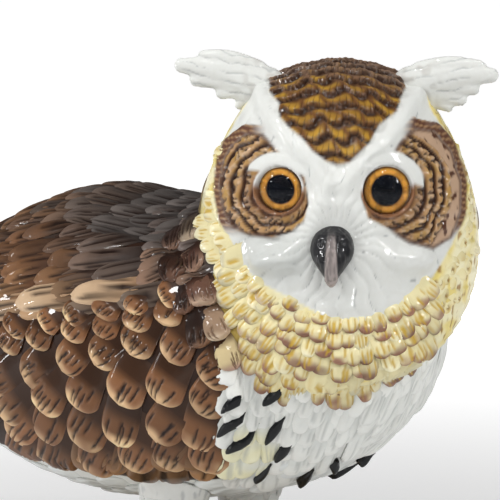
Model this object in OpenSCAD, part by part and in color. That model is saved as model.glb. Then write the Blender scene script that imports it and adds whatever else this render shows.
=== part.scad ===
// Hand-painted glazed porcelain owl with glass eyes, perched on a low tree stump.
// Millimetres, +Z up. The bird's body faces +X; its right side is -Y.
// The origin is on the stump's underside, under the middle of the stump.

/* [Body] */
// Thickness of the slip-cast wall of the body and the head
wall = 5; // [3:0.5:7]
// Stretch of the body and wings along the back, 1 is as modelled
body_stretch = 1; // [0.85:0.01:1.2]
// Half width of the body at its widest section
body_half_w = 71; // [62:1:80]
// Gap left for slip between pieces that are luted together
seam = 0.3; // [0.2:0.05:0.6]

/* [Head] */
// Height of the head's centre above the ground
head_z = 216; // [200:1:235]
// Turn of the head towards the bird's right, in degrees
head_turn = 54; // [0:1:75]
// Half width of the head at the cheeks
head_half_w = 64; // [58:1:70]
// Length of each ear tuft beyond the side of its root
ear_len = 40; // [28:1:50]
// Thickness of an ear tuft at its root
ear_t = 15; // [10:0.5:18]
// Width of the beak where it leaves the face
beak_w = 17; // [13:0.5:21]

/* [Eyes] */
// Diameter of the right glass eye
right_eye_d = 19.5; // [16:0.5:23]
// Diameter of the left glass eye
left_eye_d = 21; // [16:0.5:23]
// Distance between the centres of the eyes
eye_spacing = 47; // [42:0.5:52]
// Height of the eyes above the head's centre
eye_rise = 18; // [12:0.5:24]
// Share of the eye's diameter that the pupil takes
pupil_share = 0.66; // [0.4:0.01:0.75]
// Height of the glass dome above its edge
dome_h = 5; // [3:0.25:6.5]
// Thickness of the straight edge of the glass
glass_edge = 1.5; // [1:0.25:2.5]
// Thickness of the painted discs behind the glass
paint_t = 0.8; // [0.4:0.1:1.2]
// Thickness of the cement bed under each eye
cement_t = 3.5; // [2:0.25:5]
// Wall of the cup that holds each eye
cup_wall = 3; // [2:0.25:4]
// Radial clearance of an eye in its cup
eye_gap = 0.25; // [0.15:0.05:0.5]

/* [Wings and tail] */
// Thickness of a wing over the body
wing_t = 7; // [5:0.5:9]
// Length of the tail behind the rump
tail_len = 105; // [85:1:125]
// Half width of the tail fan at its widest
tail_half_w = 40; // [30:1:46]

/* [Legs and feet] */
// Distance between the middles of the two legs
leg_spacing = 54; // [46:1:60]
// Where the legs stand along the body, forward of the origin
leg_x = 8; // [0:1:20]
// Radius of a toe at its root
toe_r = 5.2; // [4:0.1:6]
// Length of a toe without its claw
toe_len = 21; // [17:0.5:24]
// Length of a claw
claw_len = 11; // [8:0.5:13]

/* [Stump] */
// Length of the stump along the body
stump_l = 176; // [160:1:200]
// Width of the stump
stump_w = 134; // [124:1:150]
// Thickness of the foot under the feathered leg
sole_t = 5; // [3:0.5:7]
// Height of the stump's top above the ground
stump_h = 44; // [38:1:47]
// Wall and floor of the hollow stump
stump_wall = 6; // [4:0.5:8]
// Diameter of the vent hole through the floor
vent_d = 14; // [8:0.5:20]

/* [Hidden] */
$fn = 48;

head_x = 85;          // the head's centre, forward of the origin
skin_sides = 36;      // points round an outer skin
core_sides = 24;      // points round a hollow's skin
small_sides = 20;     // points round a small piece
eye_yaw = 13;         // how far each eye looks outwards, in degrees
eye_x = 46;           // where the back of the glass lies, forward of the head's centre
vent_x = -45;         // the vent hole's place along the stump
cut_reach = 400;      // longer than the whole owl
stretched_at = 40;    // the body stretches behind this place

// Each station is a slice: its back point (x, z), its belly point (x, z) and its half width.
body_stations = [
  [ 37, 224,  119, 190, 46], [ 27, 221,  134, 178, 56], [ 19, 219,  130, 150, 63],
  [ 11, 217,  116, 124, 66], [  1, 216,   90, 101, 68], [-13, 216,   48,  84, 70],
  [-30, 217,    0,  74, 71], [-50, 218,  -44,  71, 69], [-73, 213,  -83,  76, 64],
  [-99, 203, -118,  88, 56], [-125, 189, -147, 102, 45], [-151, 171, -169, 118, 31],
  [-173, 153, -181, 134, 14]];
wing_stations = [
  [ 37, 224,  119, 190, 46], [ 27, 221,  134, 178, 56], [ 19, 219,  130, 150, 63],
  [ 11, 217,  116, 124, 66], [  1, 216,   90, 101, 68], [-13, 216,   48,  84, 70],
  [-30, 217,    0,  74, 71], [-50, 218,  -44,  71, 69], [-73, 213,  -83,  76, 65],
  [-102, 203, -116,  86, 60], [-138, 186, -150,  90, 52], [-176, 162, -184,  92, 41],
  [-214, 138, -220, 100, 28], [-240, 122, -242, 110, 14]];
wing_outline = [
  [76, 108], [80, 140], [76, 168], [60, 190], [25, 202], [-40, 206], [-95, 192], [-145, 168],
  [-195, 142], [-236, 121], [-240, 114], [-200, 113], [-140, 104], [-90, 97], [-40, 93],
  [10, 91], [48, 95], [66, 100]];
head_stations = [
  [-28,  65, 16,  67, 20], [-42,  56, 30,  60, 36], [-52,  42, 42,  46, 47],
  [-57,  26, 50,  28, 56], [-59,   8, 54,  10, 62], [-58,  -6, 55, -10, 64],
  [-56, -16, 57, -28, 64], [-52, -24, 61, -44, 61], [-46, -30, 63, -58, 56],
  [-38, -34, 58, -70, 48]];
crown_pole = [-6, 70];
ear_stations = [  // across the head from the tip to the root, with shares of the half thickness
  [75, 64, 75, 60, 0.15], [70, 67, 71, 57, 0.4], [60, 69, 64, 52, 0.62],
  [48, 69, 56, 47, 0.82], [36, 66, 48, 42, 0.95], [22, 58, 34, 40, 1]];
beak_stations = [
  [49,   4, 57,   3, 0.5], [47,  -1, 63,  -1, 0.95], [47,  -8, 67,  -9, 1],
  [50, -15, 68, -17, 0.75], [56, -21, 67, -23, 0.4], [62, -25, 65, -26, 0.15]];
leg_stations = [  // heights here are above the sole of the foot
  [-24, 56, 28, 50, 17], [-19, 36, 21, 34, 15], [-13, 17, 15, 17, 12],
  [-10, 6, 13, 6, 10.5], [-9, 0.5, 12, 0.5, 9.5]];

// A smooth curve through the rows of a list; t counts rows.
function along(rows, t) =
  let (i = min(floor(t), len(rows) - 2), f = t - i,
       a = rows[max(i - 1, 0)], b = rows[i], c = rows[i + 1], d = rows[min(i + 2, len(rows) - 1)])
  0.5 * (2 * b + (c - a) * f + (2 * a - 5 * b + 4 * c - d) * f * f
         + (3 * b - a - 3 * c + d) * f * f * f);

// One oval slice, grown by an amount all round.
function slice(row, grow, sides) =
  let (top = [row[0], row[1]], low = [row[2], row[3]], mid = (top + low) / 2,
       half = norm(low - top) / 2, dir = (low - top) / (2 * half))
  [for (i = [0 : sides - 1])
    let (a = 360 * i / sides, run = cos(a) * (half + grow), side = sin(a) * (row[4] + grow))
    [mid.x + dir.x * run, side, mid.y + dir.y * run]];

function flat(lists) = [for (l = lists) for (p = l) p];
function band(a, b, n) = flat([for (i = [0 : n - 1]) let (j = (i + 1) % n)
  [[a + i, a + j, b + i], [a + j, b + j, b + i]]]);

// A closed skin through the stations, with a pole at each end.
module skin(rows, grow, sides, rings, start_pole, end_pole) {
  slices = [for (k = [0 : rings]) slice(along(rows, k * (len(rows) - 1) / rings), grow, sides)];
  last = (rings + 1) * sides;
  polyhedron(
    points = concat(flat(slices), [start_pole, end_pole]),
    faces = concat(
      flat([for (k = [0 : rings - 1]) band(k * sides, (k + 1) * sides, sides)]),
      [for (i = [0 : sides - 1]) [last, (i + 1) % sides, i]],
      [for (i = [0 : sides - 1]) [last + 1, rings * sides + i, rings * sides + (i + 1) % sides]]));
}

// Cuts and joins skins as one mesh, at their own size.
module one_mesh() resize([0, 0, 0]) children();

function stretched(rows) = [for (r = rows) [
  r[0] < stretched_at ? stretched_at + (r[0] - stretched_at) * body_stretch : r[0], r[1],
  r[2] < stretched_at ? stretched_at + (r[2] - stretched_at) * body_stretch : r[2], r[3],
  r[4] * body_half_w / 71]];
function rump_x() = stretched_at + (-181 - stretched_at) * body_stretch;
function head_sized(rows) = [for (r = rows) [r[0], r[1], r[2], r[3], r[4] * head_half_w / 64]];

module body_form(grow, sides = skin_sides, rings = 26) {
  skin(stretched(body_stations), grow, sides, rings, [78, 0, 209 + grow], [rump_x() - grow, 0, 145]);
}

module wing_form(grow, rings = 28) {
  skin(stretched(wing_stations), grow, skin_sides, rings, [78, 0, 209 + grow],
       [stretched_at + (-243 - stretched_at) * body_stretch - grow, 0, 116]);
}

module head_form(grow, sides = skin_sides, rings = 24) {
  skin(head_sized(head_stations), grow, sides, rings,
       [crown_pole.x, 0, crown_pole.y + grow], [10, 0, -54 - grow]);
}

module on_neck() {
  translate([head_x, 0, head_z]) rotate([0, 0, -head_turn]) children();
}

// Carries its children to an eye's seat: side is 1 for the left eye and -1 for the right.
module at_eye(side) {
  on_neck() translate([eye_x, side * eye_spacing / 2, eye_rise])
    rotate([0, 0, side * eye_yaw]) rotate([0, 90, 0]) children();
}

function eye_d(side) = side > 0 ? left_eye_d : right_eye_d;

module eye_cup(side) {
  deep = paint_t + cement_t + cup_wall;
  at_eye(side) translate([0, 0, -deep]) cylinder(r = eye_d(side) / 2 + eye_gap + cup_wall, h = deep - 1);
}

module eye_socket(side) {
  deep = paint_t + cement_t;
  at_eye(side) translate([0, 0, -deep]) cylinder(r = eye_d(side) / 2 + eye_gap, h = deep + 20);
}

module body_shell() {
  color("saddlebrown") one_mesh() difference() {
    body_form(0);
    body_form(-wall, core_sides, 16);
    translate([78, 0, 205]) rotate([0, 24, 0]) cylinder(r = 34, h = 40, center = true);
  }
}

module head_shell() {
  color("whitesmoke") one_mesh() difference() {
    union() {
      difference() {
        on_neck() head_form(0);
        on_neck() head_form(-wall, core_sides, 16);
      }
      for (side = [-1, 1]) intersection() {
        eye_cup(side);
        on_neck() head_form(-1, core_sides, 16);
      }
    }
    body_form(seam);
    for (side = [-1, 1]) eye_socket(side);
  }
}

module wing(side) {
  color("sienna") one_mesh() difference() {
    intersection() {
      wing_form(wing_t);
      rotate([90, 0, 0]) translate([0, 0, side > 0 ? -cut_reach : 8])
        linear_extrude(cut_reach - 8) polygon([for (p = wing_outline)
          [p.x < stretched_at ? stretched_at + (p.x - stretched_at) * body_stretch : p.x, p.y]]);
    }
    wing_form(0);
    body_form(seam);
    on_neck() head_form(seam);
    tail_form(seam);
  }
}

module tail_form(grow) {
  root = rump_x() + 28;
  drop = tail_len / 105;
  rows = [
    [root, 146, root - 8, 124, tail_half_w * 0.55],
    [root - 30 * drop, 130, root - 36 * drop, 114, tail_half_w * 0.72],
    [root - 65 * drop, 111, root - 69 * drop, 100, tail_half_w * 0.9],
    [root - 100 * drop, 91, root - 103 * drop, 83, tail_half_w],
    [root - 118 * drop, 80, root - 119 * drop, 76, tail_half_w * 0.85]];
  skin(rows, grow, small_sides, 10, [root + 1, 0, 135], [root - 122 * drop - grow, 0, 77]);
}

module tail_fan() {
  color("peru") one_mesh() difference() {
    tail_form(0);
    body_form(seam);
  }
}

module ear_tuft(side) {
  reach = ear_len / 40;
  rows = [for (r = ear_stations) [
    34 + (r[0] - 34) * reach, r[1], 34 + (r[2] - 34) * reach, r[3], r[4] * ear_t / 2]];
  color("gainsboro") one_mesh() difference() {
    on_neck() rotate([0, 0, side * 90])
      skin(rows, 0, small_sides, 12, [34 + 42.5 * reach, 0, 62], [21, 0, 49]);
    on_neck() head_form(seam);
  }
}

module beak() {
  rows = [for (r = beak_stations) [r[0], r[1], r[2], r[3], r[4] * beak_w / 2]];
  color("dimgray") one_mesh() difference() {
    on_neck() skin(rows, 0, small_sides, 12, [53, 0, 5], [63.5, 0, -26.5]);
    on_neck() head_form(seam);
  }
}

module leg_form(side, grow) {
  foot_z = stump_h + sole_t;
  rows = [for (r = leg_stations) [r[0] + leg_x, foot_z + r[1], r[2] + leg_x, foot_z + r[3], r[4]]];
  translate([0, side * leg_spacing / 2, 0])
    skin(rows, grow, small_sides, 12, [leg_x, 0, foot_z + 56], [leg_x + 1, 0, foot_z - grow]);
}

module leg(side) {
  color("antiquewhite") one_mesh() difference() {
    leg_form(side, 0);
    body_form(seam);
  }
}

// A toe leaves the foot's middle, arches over its knuckle and comes down to the stump.
module toe(angle, shift) {
  rows = [
    [toe_len + 2, toe_r * 1.1, toe_len + 2, -1.2, toe_r * 0.55],
    [toe_len * 0.85, toe_r * 1.6, toe_len * 0.85, -1.2, toe_r * 0.75],
    [toe_len * 0.55, toe_r * 1.95, toe_len * 0.55, -1.2, toe_r * 0.85],
    [toe_len * 0.2, toe_r * 1.9, toe_len * 0.2, -1.2, toe_r],
    [-toe_r * 0.6, toe_r * 1.6, -toe_r * 0.6, -1.2, toe_r * 0.8]];
  rotate([0, 0, angle]) translate([0, shift, shift / 2])
    skin(rows, 0, 12, 7, [toe_len + 3.5, 0, toe_r * 0.6], [-toe_r, 0, toe_r * 0.8]);
}

toe_angles = [-28, 12, 75, 178];

module at_foot(side) {
  translate([leg_x, side * leg_spacing / 2, stump_h + seam]) mirror([0, side > 0 ? 0 : 1, 0]) children();
}

module foot(side) {
  color("tan") one_mesh() difference() {
    at_foot(side) for (k = [0 : 3]) toe(toe_angles[k], 0.37 * k - 0.5);
    leg_form(side, seam);
    claws_form(side, seam);
    translate([leg_x, 0, stump_h + seam - 10]) cube([200, 200, 20], center = true);
  }
}

module claws_form(side, grow) {
  rows = [
    [claw_len * 0.98, toe_r * 0.2, claw_len * 0.9, toe_r * 0.08, toe_r * 0.06],
    [claw_len * 0.75, toe_r * 0.85, claw_len * 0.6, toe_r * 0.35, toe_r * 0.24],
    [claw_len * 0.35, toe_r * 1.25, claw_len * 0.3, toe_r * 0.5, toe_r * 0.36],
    [-2, toe_r * 1.2, -2, toe_r * 0.35, toe_r * 0.42]];
  at_foot(side) for (a = toe_angles) rotate([0, 0, a]) translate([toe_len + toe_r * 0.4, 0, 0])
    skin(rows, grow, 10, 5, [claw_len, 0, 0.3], [-2.5 - grow, 0, toe_r * 0.8]);
}

module claws(side) {
  color("black") claws_form(side, 0);
}

// The stump's outline: an oval with shallow lobes where the roots begin.
function stump_point(a, inset, z) =
  let (flare = 1 + 0.05 * pow(1 - z / stump_h, 2), lobes = 1 + 0.03 * cos(5 * a + 40) + 0.02 * cos(3 * a))
  [(stump_l / 2 - inset) * cos(a) * flare * lobes / 1.1, (stump_w / 2 - inset) * sin(a) * flare * lobes / 1.1];

module stump_form(inset, low, high) {
  sides = 48;
  levels = 5;
  points = concat(
    [for (k = [0 : levels]) for (i = [0 : sides - 1])
      let (z = high + (low - high) * k / levels, edge = k == 0 ? 3 : 0)
      concat(stump_point(360 * i / sides, inset + edge, z), [z])],
    [[0, 0, high], [0, 0, low]]);
  polyhedron(points = points, faces = concat(
    flat([for (k = [0 : levels - 1]) band(k * sides, (k + 1) * sides, sides)]),
    [for (i = [0 : sides - 1]) [(levels + 1) * sides, (i + 1) % sides, i]],
    [for (i = [0 : sides - 1]) [(levels + 1) * sides + 1, levels * sides + i,
                                levels * sides + (i + 1) % sides]]));
}

module stump_base() {
  color("dimgray") difference() {
    stump_form(0, 0, stump_h);
    stump_form(stump_wall, stump_wall, stump_h - stump_wall);
    translate([vent_x, 0, -1]) cylinder(d = vent_d, h = stump_wall + 2);
  }
}

module eye_glass(side) {
  r = eye_d(side) / 2;
  dome_r = (r * r + dome_h * dome_h) / (2 * dome_h);
  color("lightcyan") at_eye(side) union() {
    cylinder(r = r, h = glass_edge);
    translate([0, 0, glass_edge]) intersection() {
      translate([0, 0, dome_h - dome_r]) sphere(r = dome_r);
      cylinder(r = r, h = dome_h + 1);
    }
  }
}

module iris(side) {
  color("darkorange") at_eye(side) translate([0, 0, -paint_t]) difference() {
    cylinder(d = eye_d(side), h = paint_t);
    translate([0, 0, -1]) cylinder(d = eye_d(side) * pupil_share, h = paint_t + 2);
  }
}

module pupil(side) {
  color("black") at_eye(side) translate([0, 0, -paint_t])
    cylinder(d = eye_d(side) * pupil_share, h = paint_t);
}

module eye_cement(side) {
  color("white") at_eye(side) translate([0, 0, -paint_t - cement_t])
    cylinder(r = eye_d(side) / 2 + eye_gap, h = cement_t);
}

stump_base();
body_shell();
head_shell();
wing(1);  // wing_left
wing(-1);  // wing_right
tail_fan();
ear_tuft(1);  // ear_tuft_left
ear_tuft(-1);  // ear_tuft_right
beak();
leg(1);  // leg_left
leg(-1);  // leg_right
foot(1);  // foot_left
foot(-1);  // foot_right
claws(1);  // claws_left
claws(-1);  // claws_right
eye_glass(1);  // eye_glass_left
eye_glass(-1);  // eye_glass_right
iris(1);  // iris_left
iris(-1);  // iris_right
pupil(1);  // pupil_left
pupil(-1);  // pupil_right
eye_cement(1);  // eye_cement_left
eye_cement(-1);  // eye_cement_right
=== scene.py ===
import math
import bmesh
import bpy
import numpy as np
from mathutils import Matrix, Vector
from mathutils.bvhtree import BVHTree


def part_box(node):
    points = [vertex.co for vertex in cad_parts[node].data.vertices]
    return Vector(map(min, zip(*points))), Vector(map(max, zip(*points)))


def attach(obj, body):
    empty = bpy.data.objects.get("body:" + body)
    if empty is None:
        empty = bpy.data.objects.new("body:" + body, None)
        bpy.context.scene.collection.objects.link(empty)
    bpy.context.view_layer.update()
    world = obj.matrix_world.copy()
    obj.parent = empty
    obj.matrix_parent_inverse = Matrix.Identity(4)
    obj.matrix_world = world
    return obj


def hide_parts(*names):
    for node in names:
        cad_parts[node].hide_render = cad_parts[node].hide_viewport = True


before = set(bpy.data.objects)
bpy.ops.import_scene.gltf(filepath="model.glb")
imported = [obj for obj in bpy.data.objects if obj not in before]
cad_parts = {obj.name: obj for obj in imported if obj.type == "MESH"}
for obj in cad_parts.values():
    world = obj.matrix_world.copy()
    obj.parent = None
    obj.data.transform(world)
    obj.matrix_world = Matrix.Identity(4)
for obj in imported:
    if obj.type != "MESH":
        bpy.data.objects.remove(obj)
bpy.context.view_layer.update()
mm = 0.001

# The front of the figure is laid out on a plane through the head's centre.
viewTurn, viewRise = math.radians(40), math.radians(9)
headCentre = np.array([85.0, 0.0, 216.0])
acrossDir = np.array([math.cos(viewTurn), math.sin(viewTurn), 0.0])
outDir = np.array([math.sin(viewTurn) * math.cos(viewRise), -math.cos(viewTurn) * math.cos(viewRise),
                   math.sin(viewRise)])
upDir = np.cross(outDir, acrossDir)


def smooth(a, b, x):
    t = np.clip((x - a) / (b - a), 0, 1)
    return t * t * (3 - 2 * t)


def mix(a, b, t):
    t = np.asarray(t)[..., None]
    return np.asarray(a) * (1 - t) + np.asarray(b) * t


def hashNoise(i):
    v = np.sin(np.asarray(i, float) * 127.1 + 11.7) * 43758.5453
    return v - np.floor(v)


def softNoise(p, size, seed=0.0):  # smooth value noise of points p, about one lump to each size
    q = np.asarray(p, float) / size + seed * 17.3
    i = np.floor(q)
    f = q - i
    f = f * f * (3 - 2 * f)
    out = np.zeros(len(q))
    for dx in (0, 1):
        for dy in (0, 1):
            for dz in (0, 1):
                w = ((f[:, 0] if dx else 1 - f[:, 0]) * (f[:, 1] if dy else 1 - f[:, 1])
                     * (f[:, 2] if dz else 1 - f[:, 2]))
                key = (i[:, 0] + dx) * 1.0 + (i[:, 1] + dy) * 57.0 + (i[:, 2] + dz) * 113.0
                out += w * hashNoise(key)
    return out * 2 - 1


# Signed distance of 2-D points from a closed outline, negative inside.
def outlineDistance(points, corners):
    c = np.asarray(corners, float)
    d = np.full(len(points), 1e9)
    inside = np.zeros(len(points), bool)
    for a, b in zip(c, np.roll(c, -1, axis=0)):
        ab, ap = b - a, points - a
        t = np.clip((ap @ ab) / (ab @ ab), 0, 1)
        d = np.minimum(d, np.linalg.norm(ap - t[:, None] * ab, axis=1))
        crosses = (a[1] > points[:, 1]) != (b[1] > points[:, 1])
        slope = (b[0] - a[0]) / (b[1] - a[1] + 1e-12)
        inside ^= crosses & (points[:, 0] < a[0] + slope * (points[:, 1] - a[1]))
    return np.where(inside, -d, d)


def lineDistance(points, corners):
    c = np.asarray(corners, float)
    d = np.full(len(points), 1e9)
    for a, b in zip(c[:-1], c[1:]):
        ab, ap = b - a, points - a
        t = np.clip((ap @ ab) / (ab @ ab), 0, 1)
        d = np.minimum(d, np.linalg.norm(ap - t[:, None] * ab, axis=1))
    return d


def linked(name, data):
    ob = bpy.data.objects.new(name, data)
    bpy.context.scene.collection.objects.link(ob)
    return ob


def newObject(name, verts, faces):  # points in millimetres
    mesh = bpy.data.meshes.new(name)
    mesh.from_pydata((np.asarray(verts) * mm).tolist(), [], faces)
    mesh.validate()
    return linked(name, mesh)


def paintAttribute(ob, name, values):
    kind = "FLOAT_COLOR" if values.ndim == 2 and values.shape[1] == 4 else (
        "FLOAT_VECTOR" if values.ndim == 2 else "FLOAT")
    a = ob.data.attributes.new(name, kind, "POINT")
    a.data.foreach_set({"FLOAT_COLOR": "color", "FLOAT_VECTOR": "vector", "FLOAT": "value"}[kind],
                       np.ascontiguousarray(values, dtype=np.float32).ravel())


def paintOn(ob, colours, strands):  # what the painted glazes read at each point
    paintAttribute(ob, "paint", np.hstack([colours, np.ones((len(colours), 1))]))
    paintAttribute(ob, "strand", strands)


def attributeOf(ob, name, width=1):
    data = ob.data.attributes[name].data
    out = np.empty(len(data) * width, np.float32)
    data.foreach_get({1: "value", 3: "vector", 4: "color"}[width], out)
    return (out.reshape(-1, width) if width > 1 else out).astype(float)


def applied(ob):  # bakes an object's modifiers into its mesh
    graph = bpy.context.evaluated_depsgraph_get()
    mesh = bpy.data.meshes.new_from_object(ob.evaluated_get(graph))
    ob.modifiers.clear()
    ob.data = mesh
    return ob


def points(ob):
    co = np.empty(len(ob.data.vertices) * 3, np.float32)
    ob.data.vertices.foreach_get("co", co)
    return co.reshape(-1, 3).astype(float) / mm


def normals(ob):
    no = np.empty(len(ob.data.vertices) * 3, np.float32)
    ob.data.vertex_normals.foreach_get("vector", no)
    return no.reshape(-1, 3).astype(float)


def movePoints(ob, verts):
    ob.data.vertices.foreach_set("co", (verts * mm).astype(np.float32).ravel())
    ob.data.update()


def oneSurface(name, bm, voxel, rounds):  # melts overlapping forms into one smooth closed surface
    mesh = bpy.data.meshes.new(name)
    bm.to_mesh(mesh)
    bm.free()
    ob = linked(name, mesh)
    remesh = ob.modifiers.new("remesh", "REMESH")
    remesh.mode, remesh.voxel_size = "VOXEL", voxel * mm
    soften = ob.modifiers.new("smooth", "SMOOTH")
    soften.factor, soften.iterations = 0.5, rounds
    applied(ob)
    keepOuter(ob)
    return ob


# One smooth outer surface over copies of some CAD nodes.
def guide(name, nodes, voxel, rounds, hull=False, plugs=()):
    bm = bmesh.new()
    for n in nodes:
        part = bmesh.new()
        part.from_mesh(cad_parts[n].data)
        part.transform(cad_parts[n].matrix_world)
        bmesh.ops.remove_doubles(part, verts=part.verts, dist=1e-6)
        tmp = bpy.data.meshes.new("tmp")
        part.to_mesh(tmp)
        part.free()
        bm.from_mesh(tmp)
        bpy.data.meshes.remove(tmp)
    if hull:
        out = bmesh.ops.convex_hull(bm, input=bm.verts)
        spare = [g for g in out["geom_interior"] + out["geom_unused"] if isinstance(g, bmesh.types.BMVert)]
        bmesh.ops.delete(bm, geom=spare, context="VERTS")
        kept = set(g for g in out["geom"] if isinstance(g, bmesh.types.BMFace))
        bmesh.ops.delete(bm, geom=[f for f in bm.faces if f not in kept], context="FACES")
    for centre, radius in plugs:
        bmesh.ops.create_icosphere(bm, subdivisions=3, radius=radius * mm,
                                   matrix=Matrix.Translation(Vector(centre) * mm))
    ob = oneSurface(name, bm, voxel, rounds)
    ob.data.shade_smooth()
    return ob


def keepOuter(ob):  # leaves only the connected surface that reaches furthest
    bm = bmesh.new()
    bm.from_mesh(ob.data)
    bm.verts.ensure_lookup_table()
    seen, groups = set(), []
    for v in bm.verts:
        if v.index in seen:
            continue
        stack, group = [v], []
        seen.add(v.index)
        while stack:
            w = stack.pop()
            group.append(w)
            for e in w.link_edges:
                o = e.other_vert(w)
                if o.index not in seen:
                    seen.add(o.index)
                    stack.append(o)
        groups.append(group)
    reach = [max(w.co.x for w in g) - min(w.co.x for w in g) for g in groups]
    best = reach.index(max(reach))
    spare = [w for k, g in enumerate(groups) if k != best for w in g]
    bmesh.ops.delete(bm, geom=spare, context="VERTS")
    bm.to_mesh(ob.data)
    bm.free()


def surfaceOf(ob):
    return BVHTree.FromPolygons([v.co for v in ob.data.vertices], [p.vertices for p in ob.data.polygons])


def cast(tree, origin, direction):  # where a ray in millimetres meets a surface, with the normal, or None
    hit = tree.ray_cast(Vector(origin) * mm, Vector(direction))
    return None if hit[0] is None else (np.array(hit[0]) / mm, np.array(hit[1]))


def castFront(tree, x, y):  # millimetres across and up from the head's centre
    origin = headCentre + acrossDir * x + upDir * y + outDir * 900
    return cast(tree, origin, -outDir)


class Paint:  # a material under construction: short names for the nodes used here
    def __init__(self, name):
        self.material = bpy.data.materials.new(name)
        self.material.use_nodes = True
        self.tree = self.material.node_tree
        self.shader = next(n for n in self.tree.nodes if n.type == "BSDF_PRINCIPLED")
        self.coords = None

    def link(self, value, socket):
        if isinstance(value, bpy.types.NodeSocket):
            self.tree.links.new(value, socket)
        else:
            socket.default_value = value

    def attribute(self, name, out="Fac"):
        n = self.tree.nodes.new("ShaderNodeAttribute")
        n.attribute_name = name
        return n.outputs[out]

    def math(self, operation, a, b):
        n = self.tree.nodes.new("ShaderNodeMath")
        n.operation = operation
        for k, v in enumerate((a, b)):
            self.link(v, n.inputs[k])
        return n.outputs[0]

    def ramp(self, a, b, x):  # rises smoothly from 0 at a to 1 at b
        n = self.tree.nodes.new("ShaderNodeMapRange")
        n.interpolation_type = "SMOOTHSTEP"
        for k, v in enumerate((x, a, b, 0.0, 1.0)):
            self.link(v, n.inputs[k])
        return n.outputs[0]

    def mix(self, t, a, b, mode="MIX"):
        n = self.tree.nodes.new("ShaderNodeMix")
        n.data_type, n.blend_type = "RGBA", mode
        self.link(t, n.inputs[0])
        for socket, v in ((n.inputs[6], a), (n.inputs[7], b)):
            self.link((*v, 1.0) if isinstance(v, tuple) and len(v) == 3 else v, socket)
        return n.outputs[2]

    def position(self):
        if self.coords is None:
            self.coords = self.tree.nodes.new("ShaderNodeTexCoord").outputs["Object"]
        return self.coords

    def noise(self, scale, detail):
        n = self.tree.nodes.new("ShaderNodeTexNoise")
        self.link(self.position(), n.inputs["Vector"])
        n.inputs["Scale"].default_value = scale
        n.inputs["Detail"].default_value = detail
        return n.outputs["Fac"]

    def bump(self, height, depth):  # depth in millimetres
        n = self.tree.nodes.new("ShaderNodeBump")
        n.inputs["Strength"].default_value = 1.0
        n.inputs["Distance"].default_value = depth * mm
        self.link(height, n.inputs["Height"])
        self.tree.links.new(n.outputs[0], self.shader.inputs["Normal"])

    def glaze(self, colour, coat=0.42):  # paint under a clear coat
        self.link(colour, self.shader.inputs["Base Color"])
        self.shader.inputs["Roughness"].default_value = 0.4
        self.shader.inputs["Specular IOR Level"].default_value = 0.1
        self.shader.inputs["Coat Weight"].default_value = coat
        self.shader.inputs["Coat Roughness"].default_value = 0.02
        return self.material


def paintedGlaze(name, hair=0.12, coat=0.42):  # high-gloss glaze over colours painted point by point
    p = Paint(name)
    base = p.attribute("paint", "Color")
    mottle = p.noise(420, 3)
    colour = p.mix(p.math("MULTIPLY", p.ramp(0.35, 0.7, mottle), 0.18), base, (0.9, 0.88, 0.84), "MULTIPLY")
    strands = p.attribute("strand")
    p.bump(p.math("ADD", strands, p.math("MULTIPLY", p.noise(260, 2), 0.6)), hair)
    return p.glaze(colour, coat=coat)


# Guides: smooth outer surfaces that skins and feathers are laid on.
headGuide = guide("headGuide", ["head_shell"], 2.2, 14, hull=True)
bodyGuide = guide("bodyGuide", ["body_shell", "wing_left", "wing_right", "tail_fan"], 2.0, 22,
                  plugs=[((76, 0, 200), 37)])
ruffGuide = guide("ruffGuide", ["head_shell", "body_shell", "wing_left", "wing_right"], 2.4, 16,
                  plugs=[((76, 0, 200), 37), ((85, 0, 212), 52)])
headTree, bodyTree, ruffTree = surfaceOf(headGuide), surfaceOf(bodyGuide), surfaceOf(ruffGuide)
print("guides", len(headGuide.data.vertices), len(bodyGuide.data.vertices))

# The head's sculpted skin.
head = dict(turn=-54.0, fine=0.5, coarse=1.3, rise=0.85, low=-78.0, high=90.0)  # degrees
crown = dict(row=7.6, lump=10.5, flute=2.7, high=2.3, fluteHigh=0.45)
disc = dict(rib=4.45, high=2.2, notch=1.3, rough=0.9, sunk=1.4)
face = dict(brow=3.0, browWide=7.5, bridge=2.0, muzzle=2.6, muzzleWide=8.5, stroke=0.6)
white = (0.735, 0.745, 0.715)


def eyePlace(node):
    lo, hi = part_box(node)
    c = (np.array(lo) + np.array(hi)) / 2 / mm - headCentre
    return np.array([c @ acrossDir, c @ upDir])


eyes = [dict(at=eyePlace("eye_glass_right"), r=9.75, side=-1),
        dict(at=eyePlace("eye_glass_left"), r=10.5, side=1)]
crownOutline = np.array([(-23.6, 79.5), (-30.9, 65.9), (-30.9, 59.5), (-30, 53.2), (-26.8, 49.1),
                         (-25.9, 42.3), (-21.8, 37.3), (-16.4, 32.7), (-12.3, 27.3), (-6.8, 23.2),
                         (-1.8, 21.4), (3.6, 22.3), (7.3, 25.9), (12.3, 30.9), (16.8, 39.1), (24.5, 45),
                         (26.8, 51.4), (29.5, 56.4), (27.3, 70.4), (23.6, 79.5)])
discOutlines = [
    np.array([(-34.5, 35), (-41.4, 35.5), (-47.7, 30.5), (-51.4, 23.6), (-53.2, 12.7), (-50.9, 0.5),
              (-47.7, -5), (-40, -9.1), (-30, -10.5), (-21.8, -8.2), (-15.9, -3.2), (-14.1, 4.5),
              (-15.9, 15.9), (-21.8, 22.3), (-28.6, 28.6)]),
    np.array([(26.4, 31.4), (32.7, 37.7), (41.8, 36.8), (49.1, 28.6), (53.6, 14.5), (53.2, 0.5),
              (49.1, -10.5), (40, -15), (30, -12.3), (20.9, -6.4), (11.4, -1.8), (8.6, 6.8), (10.9, 15.9),
              (17.3, 22.3), (22.7, 25.9)])]
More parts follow.
